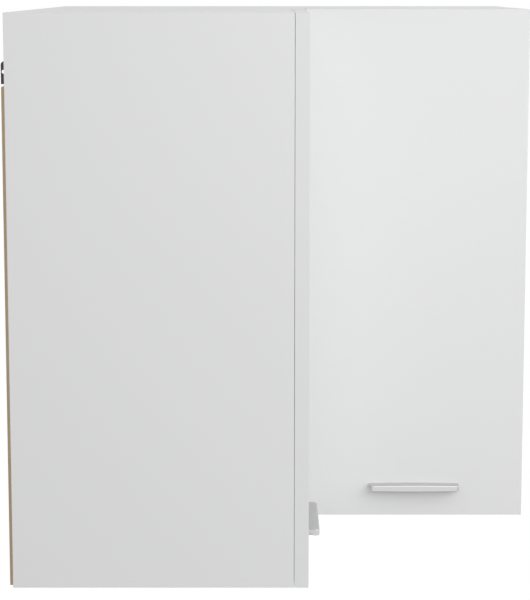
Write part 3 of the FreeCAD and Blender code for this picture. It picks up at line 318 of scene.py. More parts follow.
def fibre_finish(base):
    """Hardboard: matted brown fibres, with the fine screen that the press leaves on it."""
    finish = Finish("hardboard_brown", Specular_IOR_Level=0.3)
    fibre = finish.noise(900.0, 6.0, 0.65)
    stain = finish.noise(14.0, 4.0, 0.6)
    fleck = finish.noise(2600.0, 2.0).between(0.60, 0.72)
    tone = finish.ramp(fibre * 0.55 + stain * 0.45,
                       [(0.2, shade(base, 0.68)), (0.5, base), (0.85, shade(base, 1.4))])
    weave = 2.0 * math.pi / SCREEN_PITCH
    across = (finish.axis("X") - finish.axis("Y")) * weave
    rise = finish.axis("Z") * weave
    screen = across.sine() * rise.sine()
    return finish.surface(finish.blend(fleck * 0.5, tone, shade(base, 0.42)),
                          0.62 + fibre * 0.25,
                          fibre * 0.6 + screen * 0.25, 0.00016)


def metal_finish(name, base, rough, grain_scale, stretch, depth, stain=0.08):
    """Metal with drawing marks along one direction and a faint uneven polish."""
    finish = Finish(name, Metallic=1.0)
    marks = finish.noise(grain_scale, 3.0, 0.6, finish.stretched(*stretch))
    polish = finish.noise(70.0, 3.0)
    return finish.surface(finish.blend(marks * stain + polish * stain, base, shade(base, 0.72)),
                          rough + marks * 0.1 + polish * 0.05,
                          marks, depth)


def dark_steel_finish(base):
    """Phosphated steel: a dull dark crust of fine crystals, rubbed a little bright."""
    finish = Finish("dark_phosphate", Metallic=0.55, Specular_IOR_Level=0.4)
    crystal = finish.cells(2400.0)
    cloud = finish.noise(160.0, 4.0, 0.6)
    rubbed = cloud.between(0.62, 0.8)
    return finish.surface(finish.blend(rubbed * 0.35 + crystal * 0.2, base, shade(base, 2.6)),
                          0.5 + crystal * 0.2 - rubbed * 0.12,
                          crystal * 0.5 + cloud * 0.5, 0.00003)


def zinc_finish(base):
    """Zinc plate: a bluish bright skin with faint spangles."""
    finish = Finish("zinc_plate", Metallic=1.0)
    spangle = finish.add("ShaderNodeSeparateColor", None,
                         {"Color": finish.cells(700.0, output="Color")}, "Green")
    haze = finish.noise(300.0, 3.0)
    return finish.surface(finish.blend(spangle * 0.3 + haze * 0.2, base, shade(base, 0.75)),
                          0.26 + haze * 0.14 + spangle * 0.06,
                          haze, 0.00001)


def cast_finish(base):
    """Die-cast zinc: a dull grainy skin with flow marks."""
    finish = Finish("die_cast", Metallic=0.9)
    grain = finish.noise(3000.0, 3.0, 0.7)
    flow = finish.noise(220.0, 4.0, 0.6, finish.stretched(1.0, 3.0, 1.0))
    return finish.surface(finish.blend(flow * 0.4, base, shade(base, 0.6)),
                          0.46 + grain * 0.2,
                          grain, 0.00003)


def plastic_finish(base):
    """Moulded plastic with a fine spark-eroded texture."""
    finish = Finish("moulded_plastic", Specular_IOR_Level=0.45)
    spark = finish.noise(2200.0, 2.0, 0.6)
    cloud = finish.noise(30.0, 2.0)
    return finish.surface(finish.blend(cloud * 0.5 + spark * 0.2, base, shade(base, 0.93)),
                          0.42 + spark * 0.14,
                          spark, 0.00003)


def beech_finish(base):
    """Turned beech: long grain with short dark rays."""
    finish = Finish("turned_beech", Roughness=0.6, Specular_IOR_Level=0.3)
    grain = finish.noise(420.0, 5.0, 0.6, finish.stretched(1.0, 0.15, 1.0))
    ray = finish.noise(1500.0, 2.0, 0.5, finish.stretched(1.0, 0.2, 1.0)).between(0.6, 0.68)
    tone = finish.ramp(grain, [(0.25, shade(base, 0.8)), (0.55, base), (0.8, shade(base, 1.25))])
    return finish.surface(finish.blend(ray * 0.5, tone, shade(base, 0.55)),
                          0.55 + grain * 0.15,
                          grain + ray, 0.00004)


def bumper_finish():
    """Clear soft plastic, a little cloudy."""
    finish = Finish("clear_bumper", Transmission_Weight=0.55, IOR=1.45)
    cloud = finish.noise(260.0, 2.0)
    return finish.surface(finish.blend(cloud, (0.82, 0.84, 0.85), (0.93, 0.94, 0.95)),
                          0.2 + cloud * 0.15,
                          cloud, 0.00002)


FINISHES = {}


def make_finishes():
    """Every finish once, by name."""
    scene = bpy.context.scene
    boards = scene.cabinet_boards
    handles = scene.cabinet_handles
    fittings = scene.cabinet_fittings
    FINISHES.update({
        "laminate": laminate_finish(boards.face, "white_laminate", 0.00002),
        "band": laminate_finish(boards.band, "white_edge_band", 0.00001),
        "core": core_finish(boards.core),
        "fibre": fibre_finish(boards.fibre),
        "lacquer": laminate_finish(boards.lacquer, "lacquered_hardboard", 0.00004),
        "handle_left": metal_finish("satin_handle_left", handles.metal, 0.28,
                                    1400.0, (1.0, 0.02, 1.0), 0.000004, 0.05),
        "handle_right": metal_finish("satin_handle_right", handles.metal, 0.28,
                                     1400.0, (0.02, 1.0, 1.0), 0.000004, 0.05),
        # The underside finish is painted shade: the same satin metal made darker, put on the handle
        # faces that point down.
        "handle_painted_shade": metal_finish("unbrushed_underside", handles.under, 0.42,
                                     1800.0, (1.0, 1.0, 1.0), 0.000008, 0.1),
        "nickel": metal_finish("nickel_plate", fittings.nickel, 0.2, 900.0, (0.2, 0.2, 1.0),
                               0.000006),
        "zinc": zinc_finish(fittings.zinc),
        "cast": cast_finish((0.42, 0.42, 0.43)),
        "hook": dark_steel_finish(fittings.hook),
        "plastic": plastic_finish(fittings.plastic),
        "beech": beech_finish(fittings.beech),
        "bumper": bumper_finish(),
    })


# ---- pieces from the frame

SMOOTH_ANGLE = 35.0         # degrees up to which two faces shade as one
FLAT_ANGLE = 0.5            # degrees up to which two faces are one flat region
WELD = 2e-6                 # how near two points of a CAD surface lie that are one
HULL_REACH = 0.0012         # how far from its box a board's outer faces may lie
ROUNDED_LENGTH = 0.012      # shortest edge of a board that is rounded
ROUNDED_SHEET = 0.02        # the same for a back
BANDED_AREA = 2e-4          # smallest face in a board's inner corner that has a band
PAINTED_AREA = 1e-4         # smallest face of a back that is painted
INNER_BANDED = ("top_panel", "bottom_panel", "shelf")
FRONT_BANDED = ("end_panel", "top_panel", "bottom_panel")


def welded(node):
    """The node's surface as one closed mesh."""
    mesh = bmesh.new()
    mesh.from_mesh(NODES[node].data)
    bmesh.ops.remove_doubles(mesh, verts=mesh.verts, dist=WELD)
    return mesh


def merged(node):
    """The node's surface as one closed mesh, with flat regions joined."""
    mesh = welded(node)
    bmesh.ops.dissolve_limit(mesh, angle_limit=math.radians(FLAT_ANGLE), verts=mesh.verts,
                             edges=mesh.edges, delimit={"NORMAL"})
    return mesh


def break_edges(mesh, radius, shortest, sharper_than=40.0):
    """Round the sharp edges that are at least so long."""
    edges = [edge for edge in mesh.edges
             if edge.is_manifold and edge.calc_length() >= shortest
             and edge.calc_face_angle() > math.radians(sharper_than)]
    bmesh.ops.bevel(mesh, geom=edges, offset=radius, segments=2, profile=0.5,
                    affect="EDGES", clamp_overlap=True)


def stand(name, data):
    """A new object of the scene that shows the data."""
    thing = bpy.data.objects.new(name, data)
    bpy.context.scene.collection.objects.link(thing)
    return thing


def piece(name, mesh, body, finishes, node, smooth=SMOOTH_ANGLE):
    """A finished piece from a bmesh, in the slot of its first finish."""
    data = bpy.data.meshes.new(name)
    mesh.to_mesh(data)
    mesh.free()
    thing = stand(name, data)
    for finish in finishes:
        data.materials.append(FINISHES[finish])
    data.set_sharp_from_angle(angle=math.radians(smooth))
    level = thing.modifiers.new("level_normals", "WEIGHTED_NORMAL")
    level.keep_sharp = True
    settle(thing)
    return seat(thing, body, node)


def settle(thing):
    """Make what the modifiers give the piece's own plain mesh, and take them off."""
    finished = thing.evaluated_get(bpy.context.evaluated_depsgraph_get())
    thing.data = bpy.data.meshes.new_from_object(finished)
    thing.data.name = thing.name
    thing.modifiers.clear()


def seat(thing, body, node):
    """The piece rides on its body and stands for its node."""
    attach(thing, body)
    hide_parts(node)
    return thing


def on_hull(face, low, high):
    """Whether a face lies on the outside of the board's box, and along which axis it faces."""
    centre = face.calc_center_median()
    axis = max(range(3), key=lambda i: abs(face.normal[i]))
    edge = high[axis] if face.normal[axis] > 0 else low[axis]
    return abs(centre[axis] - edge) < HULL_REACH, axis


def band_fronts(mesh, thickness):
    """Move a board's front edges out by the thickness of their band."""
    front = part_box("end_panel_left")[1].x
    for vertex in mesh.verts:
        if abs(vertex.co.x - front) < NEAR:
            vertex.co.x += thickness
        if abs(vertex.co.y + front) < NEAR:
            vertex.co.y -= thickness


def dress_board(node, body, thin_axis, bare=()):
    """A board with its edge bands, its broad faces, and bare chips inside its bores.

    bare lists the outward directions, such as "-X", of edges that have no band.
    """
    low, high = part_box(node)
    mesh = merged(node)
    settings = bpy.context.scene.cabinet_boards
    if node.startswith(FRONT_BANDED):
        band_fronts(mesh, settings.proud)
    break_edges(mesh, settings.rounding, ROUNDED_LENGTH)
    broad, narrow, core = range(3)
    for face in mesh.faces:
        outside, axis = on_hull(face, low, high)
        side = ("+" if face.normal[axis] > 0 else "-") + "XYZ"[axis]
        inner_edge = (node in INNER_BANDED and axis != thin_axis
                      and face.calc_area() > BANDED_AREA)
        if not outside and not inner_edge:
            face.material_index = core
        elif axis == thin_axis:
            face.material_index = broad
        else:
            face.material_index = core if side in bare and outside else narrow
    return piece(node + "_board", mesh, body, ("laminate", "band", "core"), node)


# ---- turned pieces where the frame has them

class TurnedSolid:
    """The sizes of one turned solid of a node: a head at its outer end and a shank behind it."""
    END = 0.7               # past this share of half its length, a point is at an end
    SHANK = 0.3             # the same, on the side away from the head, for the shank

    def __init__(self, points, axis):
        low = Vector(min(point[i] for point in points) for i in range(3))
        high = Vector(max(point[i] for point in points) for i in range(3))
        if axis is None:
            axis = max(range(3), key=lambda i: high[i] - low[i])
        middle = (low + high) / 2
        self.length = high[axis] - low[axis]
        spread = []
        for point in points:
            aside = point - middle
            along = aside[axis]
            aside[axis] = 0.0
            spread.append((along, aside.length))
        half = self.length / 2
        first, last = (max((radius for along, radius in spread
                            if along * way > half * self.END), default=0.0)
                       for way in (1.0, -1.0))
        way = 1.0 if first >= last else -1.0
        self.facing = Vector((0.0, 0.0, 0.0))
        self.facing[axis] = way
        self.top = middle + self.facing * half
        self.head_radius = max(radius for _, radius in spread)
        self.shank_radius = max((radius for along, radius in spread
                                 if along * way < -half * self.SHANK), default=self.head_radius)
        limit = (self.head_radius + self.shank_radius) / 2
        lowest = min((along * way for along, radius in spread if radius >= limit), default=half)
        self.head_height = half - lowest

    def turn_over(self):
        """See the solid from its other end."""
        self.top = self.top - self.facing * self.length
        self.facing = -self.facing

    def plain(self):
        return {"Radius": self.head_radius, "Length": self.length}

    def headed(self):
        return {"Head Radius": self.head_radius, "Head Height": self.head_height,
                "Shank Radius": self.shank_radius, "Length": self.length}


def turned_solids(node, axis=None, wrong_way=None):
    """Every separate solid of a node, measured, and turned over where it is the wrong way up."""
    mesh = welded(node)
    waiting = set(mesh.verts)
    found = []
    while waiting:
        island = {waiting.pop()}
        front = list(island)
        while front:
            vertex = front.pop()
            for edge in vertex.link_edges:
                other = edge.other_vert(vertex)
                if other not in island:
                    island.add(other)
                    front.append(other)
        waiting -= island
        found.append(TurnedSolid([vertex.co.copy() for vertex in island], axis))
    mesh.free()
    found.sort(key=lambda solid: tuple(round(x, 5) for x in solid.top))
    for solid in found:
        if wrong_way and wrong_way(solid):
            solid.turn_over()
    return found


# ---- trees that make turned pieces

ANY_TURN = 3.1              # a copy's spin either way, in radians, where it may stand at any turn


def both_ends(rows, reach):
    """The rows of one end, and the same rows turned over at the other end."""
    return rows + [(radius, -reach - height) for radius, height in reversed(rows)]


class Grower(Bench):
    """A geometry tree that makes one master piece and sets it at every spot."""

    def __init__(self, name, *sizes):
        super().__init__(bpy.data.node_groups.new(name, "GeometryNodeTree"))
        face = self.tree.interface
        kinds = {"Spots": "Geometry", **dict.fromkeys(sizes, "Float"), "Finish": "Material"}
        self.sockets = {size: face.new_socket(size, in_out="INPUT",
                                              socket_type="NodeSocket" + kind)
                        for size, kind in kinds.items()}
        face.new_socket("Pieces", in_out="OUTPUT", socket_type="NodeSocketGeometry")
        self.entry = self.tree.nodes.new("NodeGroupInput")
        self.sizes = [self.given(size) for size in sizes]

    def given(self, name):
        return Wire(self, self.entry.outputs[name])

    def lathe(self, rows, around=24, flutes=0, groove=0.0):
        """A closed turned mesh from (radius, height) rows that run from the axis to the axis.

        Flutes are grooves along it, of the given depth, on every row but the end ones.
        """
        grid = self.add("GeometryNodeMeshGrid", None,
                        {"Size X": 1.0, "Size Y": 1.0, "Vertices X": len(rows),
                         "Vertices Y": around + 1}, "Mesh")
        spot = self.add("GeometryNodeInputPosition")
        across, along = (self.add("ShaderNodeSeparateXYZ", None, {"Vector": spot}, name) + 0.5
                         for name in "XY")
        row = (across * (len(rows) - 1.0)).rounded()
        angle = along * (2.0 * math.pi)
        radius, height = (self.pick(row, values) for values in zip(*rows))
        if flutes:
            wave = (angle * flutes).cosine()
            radius = radius - wave.between(0.0, 1.0) * self.pick(
                row, [0.0, 0.0] + [groove] * (len(rows) - 4) + [0.0, 0.0])
        place = self.vector(radius * angle.cosine(), radius * angle.sine(), height)
        shaped = self.add("GeometryNodeSetPosition", None, {"Geometry": grid, "Position": place})
        return self.add("GeometryNodeMergeByDistance", None,
                        {"Geometry": shaped, "Distance": 1e-7})

    def pick(self, index, values):
        """One of the values, by a whole number."""
        node = self.tree.nodes.new("GeometryNodeIndexSwitch")
        node.data_type = "FLOAT"
        while len(node.index_switch_items) < len(values):
            node.index_switch_items.new()
        for socket, value in zip(node.inputs, [index, *values]):
            self.put(socket, value)
        return Wire(self, node.outputs[0])

    def bar(self, size_x, size_y, size_z):
        """A small block in the middle of the outer end, to cut a slot with."""
        return self.add("GeometryNodeMeshCube", None,
                        {"Size": self.vector(size_x, size_y, size_z)}, "Mesh")

    def cross(self, long, wide, deep):
        return self.join([self.bar(long, wide, deep), self.bar(wide, long, deep)])

    def without(self, body, cutters):
        return self.add("GeometryNodeMeshBoolean", {"operation": "DIFFERENCE"},
                        {"Mesh 1": body, "Mesh 2": cutters})

    def thread(self, radius, pitch, reach, depth, start):
        """A ridge that winds round a shank, from the start height downwards."""
        line = self.add("GeometryNodeCurveSpiral", None,
                        {"Resolution": 12, "Rotations": reach / pitch, "Start Radius": radius,
                         "End Radius": radius, "Height": reach})
        edge = self.add("GeometryNodeCurvePrimitiveCircle", None,
                        {"Resolution": 3, "Radius": depth})
        ridge = self.add("GeometryNodeCurveToMesh", None,
                         {"Curve": line, "Profile Curve": edge, "Fill Caps": True})
        return self.add("GeometryNodeTransform", None,
                        {"Geometry": ridge, "Translation": self.vector(z=start - reach)})

    def join(self, parts):
        return self.add("GeometryNodeJoinGeometry", None, {0: parts})

    def finish(self, master, seed, spin=ANY_TURN):
        """Copies at every spot, each turned to face outwards and spun by a fixed random angle."""
        facing = self.add("GeometryNodeInputNamedAttribute", {"data_type": "FLOAT_VECTOR"},
                          {"Name": "facing"})
        aim = self.add("FunctionNodeAlignRotationToVector", {"axis": "Z"}, {"Vector": facing})
        chance = self.add("FunctionNodeRandomValue", {"data_type": "FLOAT"},
                          {2: -spin, 3: spin, "Seed": seed}, 1)
        turn = self.add("FunctionNodeRotateRotation", {"rotation_space": "LOCAL"},
                        {"Rotation": aim, "Rotate By": self.vector(z=chance)})
        copies = self.add("GeometryNodeInstanceOnPoints", None,
                          {"Points": self.given("Spots"), "Instance": master, "Rotation": turn})
        solid = self.add("GeometryNodeRealizeInstances", None, {"Geometry": copies})
        painted = self.add("GeometryNodeSetMaterial", None,
                           {"Geometry": solid, "Material": self.given("Finish")})
        self.put(self.tree.nodes.new("NodeGroupOutput").inputs[0], painted)
        return self


def grow(node, grower, values, solids, finish, body=CARCASS, name=None):
    """Run a grower's tree on the solids' outer ends and keep the result as a plain piece."""
    name = name or node + "_set"
    data = bpy.data.meshes.new(name)
    data.from_pydata([solid.top for solid in solids], [], [])
    facing = data.attributes.new("facing", "FLOAT_VECTOR", "POINT")
    facing.data.foreach_set("vector", [x for solid in solids for x in solid.facing])
    thing = stand(name, data)
    modifier = thing.modifiers.new(name, "NODES")
    modifier.node_group = grower.tree
    for size, value in {**values, "Finish": FINISHES[finish]}.items():
        modifier[grower.sockets[size].identifier] = value
    settle(thing)
    thing.data.set_sharp_from_angle(angle=math.radians(SMOOTH_ANGLE))
    return seat(thing, body, node)


def screw_grower():
    """A cross-headed screw: a domed head, a shank with a thread, and a point."""
    tree = Grower("cross_headed_screw", "Head Radius", "Head Height", "Shank Radius", "Length",
                  "Pitch", "Recess", "Dome")
    radius, height, shank, reach, pitch, recess, dome = tree.sizes
    core = shank * 0.8
    taper = shank * 1.6
    slope = height * dome
    head = tree.lathe([(0.0, 0.0), (radius * 0.45, 0.0), (radius * 0.78, -(slope * 0.3)),
                       (radius * 0.95, -(slope * 0.7)), (radius, -slope),
                       (radius, -(height * 0.92)), (radius * 0.97, -height),
                       (core, -height), (0.0, -height)])
    recessed = tree.without(head, tree.cross(radius * 1.05, radius * 0.2, recess * 2.0))
    stem = tree.lathe([(0.0, -(height * 0.9)), (core, -(height * 0.9)), (core, taper - reach),
                       (core * 0.35, shank * 0.25 - reach), (0.0, -reach)], around=16)
    thread = tree.thread(core, pitch, reach - height - taper, shank * 0.2, -height)
    return tree.finish(tree.join([recessed, stem, thread]), seed=7, spin=1.4)


def pin_grower():
    """A plain steel pin with both ends rounded over."""
    tree = Grower("rounded_pin", "Radius", "Length")
    radius, reach = tree.sizes
    ease = radius * 0.3
    end = [(0.0, 0.0), (radius - ease, 0.0), (radius - ease * 0.3, -(ease * 0.3)),
           (radius, -ease)]
    return tree.finish(tree.lathe(both_ends(end, reach), around=20), seed=3)


def nail_grower():
    """A panel pin: a flat head with a cross on it, three rings under it, and a long point."""
    tree = Grower("ringed_nail", "Head Radius", "Head Height", "Shank Radius", "Length")
    radius, height, shank, reach = tree.sizes
    rows = [(0.0, 0.0), (radius * 0.8, 0.0), (radius * 0.96, -(height * 0.25)),
            (radius, -(height * 0.6)), (radius * 0.98, -height), (shank, -(height * 1.02))]
    for ring in range(3):
        drop = height + shank * (0.9 + 1.1 * ring)
        rows += [(shank, -drop), (shank * 0.86, -(drop + shank * 0.2)),
                 (shank, -(drop + shank * 0.4))]
    rows += [(shank, shank * 2.4 - reach), (shank * 0.5, shank * 0.9 - reach), (0.0, -reach)]
    scratches = tree.cross(radius * 1.5, radius * 0.07, height * 0.16)
    return tree.finish(tree.without(tree.lathe(rows, around=16), scratches), seed=11, spin=1.5)


def dowel_grower(flutes):
    """A fluted dowel with bevelled ends."""
    tree = Grower("fluted_dowel", "Radius", "Length", "Bevel", "Groove")
    radius, reach, bevel, groove = tree.sizes
    end = [(0.0, 0.0), (radius - bevel, 0.0), (radius - bevel * 0.3, -(bevel * 0.5)),
           (radius, -bevel)]
    return tree.finish(tree.lathe(both_ends(end, reach), flutes * 6, flutes, groove), seed=5)


def shelf_pin_grower():
    """A shelf pin: the plug in the side, its collar, and the stub that the shelf lies on."""
    tree = Grower("shelf_pin", *SHELF_PIN, "Length")
    rest, rest_length, rim, collar, plug, reach = tree.sizes
    foot = -rest_length
    rows = [(0.0, 0.0), (rest * 0.72, 0.0), (rest * 0.92, -(rest * 0.12)), (rest, -(rest * 0.34)),
            (rest, foot), (rim * 0.94, foot), (rim, foot - collar * 0.3),
            (rim, foot - collar * 0.8), (rim * 0.97, foot - collar), (plug, foot - collar),
            (plug, plug * 0.3 - reach), (plug * 0.8, -reach), (0.0, -reach)]
    return tree.finish(tree.lathe(rows, around=28), seed=2)


def cam_bolt_grower():
    """A bolt for a cam: wood thread, collar, slim neck, and a ball end with a cross in it."""
    tree = Grower("cam_bolt", *CAM_BOLT, "Length")
    thread, thread_length, pitch, rim, collar, neck, head, head_length, reach = tree.sizes
    face = thread_length - reach
    core = thread * 0.72
    rows = [(0.0, 0.0), (head * 0.7, 0.0), (head * 0.95, -(head_length * 0.12)),
            (head, -(head_length * 0.35)), (head, -(head_length * 0.7)),
            (neck, -head_length), (neck, face + collar), (rim * 0.96, face + collar),
            (rim, face + collar * 0.8), (rim, face + collar * 0.15), (rim * 0.97, face),
            (core, face), (core, thread * 0.6 - reach), (core * 0.6, -reach), (0.0, -reach)]
    cross = tree.cross(head * 1.1, head * 0.24, head_length * 0.8)
    winding = tree.thread(core, pitch, thread_length - thread, thread - core, face)
    body = tree.without(tree.lathe(rows, 28), cross)
    return tree.finish(tree.join([body, winding]), seed=9)


def cover_grower():
    """A thin plastic cover with a rounded rim and a shallow dished middle."""
    tree = Grower("cam_cover", "Radius", "Length")
    radius, height = tree.sizes
    rows = [(0.0, -(height * 0.22)), (radius * 0.7, -(height * 0.2)), (radius * 0.8, 0.0),
            (radius * 0.93, 0.0), (radius * 0.985, -(height * 0.3)), (radius, -(height * 0.75)),
            (radius, -height), (0.0, -height)]
    return tree.finish(tree.lathe(rows, around=40), seed=4)


def bumper_grower():
    """A soft dot with a domed top."""
    tree = Grower("door_bumper", "Radius", "Length")
    radius, height = tree.sizes
    turns = [math.radians(90 * i / 6) for i in range(7)]
    dome = [(radius * (0.35 + 0.65 * math.sin(a)), height * (math.cos(a) - 1.0)) for a in turns]
    return tree.finish(tree.lathe([(0.0, 0.0), *dome, (0.0, -height)], around=32), seed=6)


def adjuster_grower():
    """A set screw with a bevelled rim and a deep slot, threaded all along."""
    tree = Grower("slotted_adjuster", "Radius", "Length", "Pitch")
    radius, reach, pitch = tree.sizes
    core = radius * 0.9
    body = tree.lathe([(0.0, 0.0), (radius * 0.8, 0.0), (core, -(radius * 0.12)),
                       (core, radius * 0.2 - reach), (radius * 0.7, -reach), (0.0, -reach)])
    slot = tree.bar(radius * 3.0, radius * 0.3, radius * 1.1)
    ridge = tree.thread(core, pitch, reach - radius * 0.8, radius - core, -(radius * 0.3))
    return tree.finish(tree.without(tree.join([body, ridge]), slot), seed=8)


# ---- operators

class CabinetStep:
    """What all the steps share: they finish or raise an error."""
    bl_options = {"REGISTER", "UNDO"}

    def execute(self, context):
        self.build(context.scene)
        return {"FINISHED"}


class CABINET_OT_boards(CabinetStep, bpy.types.Operator):
    """Carcass boards, rails and doors, with edge bands and bare bores"""
    bl_idname = "cabinet.boards"
    bl_label = "Boards and doors"

    def build(self, scene):
        dress_board("end_panel_left", CARCASS, 1, bare=("-X",))
        dress_board("end_panel_right", CARCASS, 0, bare=("+Y",))
        dress_board("door_left", "left_door", 0)
        dress_board("door_right", "right_door", 1)
        for node in ("top_panel", "bottom_panel", "shelf"):
            dress_board(node, CARCASS, 2, bare=("-X", "+Y"))
        dress_board("hanging_rail_left", CARCASS, 0, bare=("-Y", "+Y"))
        dress_board("hanging_rail_right", CARCASS, 1, bare=("-X", "+X"))
        post = dress_board("rear_corner_post", CARCASS, 0)


class CABINET_OT_backs(CabinetStep, bpy.types.Operator):
    """The two hardboard backs, brown outside and lacquered inside"""
    bl_idname = "cabinet.backs"
    bl_label = "Backs"

    def build(self, scene):
        for side, axis, inward in (("left", 0, 1.0), ("right", 1, -1.0)):
            node = "back_panel_" + side
            mesh = merged(node)
            break_edges(mesh, scene.cabinet_boards.rounding, ROUNDED_SHEET)
            for face in mesh.faces:
                painted = face.normal[axis] * inward > 0.9 and face.calc_area() > PAINTED_AREA
                face.material_index = 1 if painted else 0
            piece(node + "_sheet", mesh, CARCASS, ("fibre", "lacquer"), node)


HANDLE_SIZE = {"length": 0.106, "reach": 0.0138, "height": 0.0077, "lip": 0.0024,
               "flange": 0.0046, "lip_cove": 0.0014, "edge": 0.0011, "tip": 0.0006,
               "boss": 0.006, "boss_length": 0.008, "screw_inset": 0.005,
               "end_edge": 0.0005}
HANDLE_STATIONS = 96        # sections from the handle's middle to where its corner starts
CORNER_STEP = 10            # degrees round the corner from one section to the next
UNDERSIDE = -0.3            # a face whose normal points further down than this is below


def arc(centre, radius, start, end, steps=6):
    """Points round a centre, from one angle to another in degrees."""
    turns = [math.radians(start + (end - start) * i / steps) for i in range(steps + 1)]
    return [(centre[0] + radius * math.cos(a), centre[1] + radius * math.sin(a)) for a in turns]


def handle_section(u, settings):
    """The handle's outline at a place along it, as (out from the door, up from its top)."""
    form = HANDLE_SIZE
    half = form["length"] / 2
    share = (abs(u) / half) ** 2
    corner = settings.end_radius
    past = max(0.0, abs(u) - (half - corner))
    reach = form["reach"] - corner + math.sqrt(max(0.0, corner ** 2 - past ** 2))
    top = -settings.crown * share
    low = -(form["height"] - settings.lip_rise * share)
    beside_screw = abs(abs(u) - (half - form["screw_inset"]))
    tip = form["tip"]
    rise = min(1.0, max(0.0, (form["boss_length"] / 2 - beside_screw) / tip + 0.5))
    thick = form["flange"] + (form["boss"] - form["flange"]) * rise * rise * (3 - 2 * rise)
    inner = reach - form["lip"]
    foot = min(settings.foot_cove, form["flange"] + settings.foot_cove - thick)
    cove = min(form["lip_cove"], max(tip / 2, (top - thick) - (low + tip) - tip / 2))
    edge = form["edge"]
    return [(0.0, top), (reach * 0.5, top),
            *arc((reach - edge, top - edge), edge, 90, 0),
            *arc((reach - tip, low + tip), tip, 0, -90),
            *arc((inner + tip, low + tip), tip, -90, -180),
            *arc((inner - cove, top - thick - cove), cove, 0, 90),
            *arc((foot, top - thick - foot), foot, 90, 180)]


class CABINET_OT_handles(CabinetStep, bpy.types.Operator):
    """Two satin bar handles, hollow below, with solid ends that take the screws"""
    bl_idname = "cabinet.handles"
    bl_label = "Handles"

    def build(self, scene):
        settings = scene.cabinet_handles
        radius = settings.end_radius
        flat = HANDLE_SIZE["length"] / 2 - radius
        steps = HANDLE_STATIONS
        spread = [flat * i / steps for i in range(-steps, steps + 1)]
        turn = [flat + radius * math.sin(math.radians(angle))
                for angle in range(CORNER_STEP, 91, CORNER_STEP)]
        stations = [-u for u in reversed(turn)] + spread + turn
        for side in SIDES:
            node = "handle_" + side
            low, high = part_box(node)
            middle = (low + high) / 2
            mesh = bmesh.new()
            rings = []
            for u in stations:
                spots = [(low.x + out, middle.y + u, high.z + up) if side == "left"
                         else (middle.x + u, high.y - out, high.z + up)
                         for out, up in handle_section(u, settings)]
                rings.append([mesh.verts.new(spot) for spot in spots])
            for first, second in zip(rings[:-1], rings[1:]):
                for i in range(len(first)):
                    j = (i + 1) % len(first)
                    mesh.faces.new((first[i], first[j], second[j], second[i]))
            mesh.faces.new(rings[0])
            mesh.faces.new(list(reversed(rings[-1])))
            bmesh.ops.recalc_face_normals(mesh, faces=mesh.faces)
            ends = [edge for edge in mesh.edges
                    if edge.calc_face_angle(0.0) > math.radians(SMOOTH_ANGLE)]
            bmesh.ops.bevel(mesh, geom=ends, offset=HANDLE_SIZE["end_edge"], segments=3,
                            profile=0.5, affect="EDGES", clamp_overlap=True)
            # Faces that point down get the darker second finish: painted shade under the handle.
            for face in mesh.faces:
                face.material_index = 1 if face.normal.z < UNDERSIDE else 0
            piece(node + "_bar", mesh, side + "_door", (node, "handle_painted_shade"), node, smooth=50.0)


def pressed_piece(node, body, finish, radius):
    """A CAD node with its sharp edges broken."""
    mesh = merged(node)
    break_edges(mesh, radius, shortest=0.0, sharper_than=30.0)
    piece(node + "_piece", mesh, body, (finish,), node)


class CABINET_OT_hinges(CabinetStep, bpy.types.Operator):
    """Cups, links, arms and plates of the four hinges, with broken edges"""
    bl_idname = "cabinet.hinges"
    bl_label = "Hinges"

    def build(self, scene):
        for side in SIDES:
            bodies = {"plate": CARCASS, "arm": CARCASS, "outer_link": side + "_outer_links",
                      "inner_link": side + "_inner_links", "cup": side + "_door"}
            for kind, body in bodies.items():
                for level in LEVELS:
                    pressed_piece("hinge_%s_%s_%s" % (kind, side, level), body, "nickel",
                                  scene.cabinet_fittings.rounding)


class CABINET_OT_hangers(CabinetStep, bpy.types.Operator):
    """Dark hook plates and the white housings that hold them"""
    bl_idname = "cabinet.hangers"
    bl_label = "Hangers"

    def build(self, scene):
        fittings = scene.cabinet_fittings
        for side in SIDES:
            pressed_piece("hanger_hook_" + side, CARCASS, "hook", fittings.hook_edge)
            pressed_piece("hanger_housing_" + side, CARCASS, "plastic", fittings.housing_edge)


class CABINET_OT_screws(CabinetStep, bpy.types.Operator):
    """Every screw with its cross and its thread"""
    bl_idname = "cabinet.screws"
    bl_label = "Screws"

    def build(self, scene):
        fittings = scene.cabinet_fittings
        grower = screw_grower()
        kinds = {"hinge_arm_screws": (CARCASS, 0.7, 0.5), "hinge_plate_screws": (CARCASS, 0.8, 1.0),
                 "hanger_screws": (CARCASS, 0.8, 1.0)}
        for side in SIDES:
            kinds["handle_screws_" + side] = (side + "_door", 0.8, 0.4)
            kinds["hinge_cup_screws_" + side] = (side + "_door", 0.3, 1.0)
        for node, (body, dome, pitch_share) in kinds.items():
            solids = turned_solids(node)
            long_ones = LONG_SHARE * max(solid.length for solid in solids)
            screws = [solid for solid in solids if solid.length > long_ones]
            if len(screws) < len(solids):
                self.set_adjusters([solid for solid in solids if solid not in screws], node)
            values = {**screws[0].headed(), "Pitch": fittings.pitch * pitch_share, "Dome": dome,
                      "Recess": min(fittings.recess, screws[0].head_height * RECESS_SHARE)}
            grow(node, grower, values, screws, "zinc", body)

    def set_adjusters(self, solids, node):
        """The slotted screws under the hanger housings, with their slots facing down."""
        for solid in solids:
            if solid.facing.z > 0:
                solid.turn_over()
        values = {**solids[0].plain(), "Pitch": ADJUSTER_PITCH}
        grow(node, adjuster_grower(), values, solids, "zinc", name="hanger_adjusters")


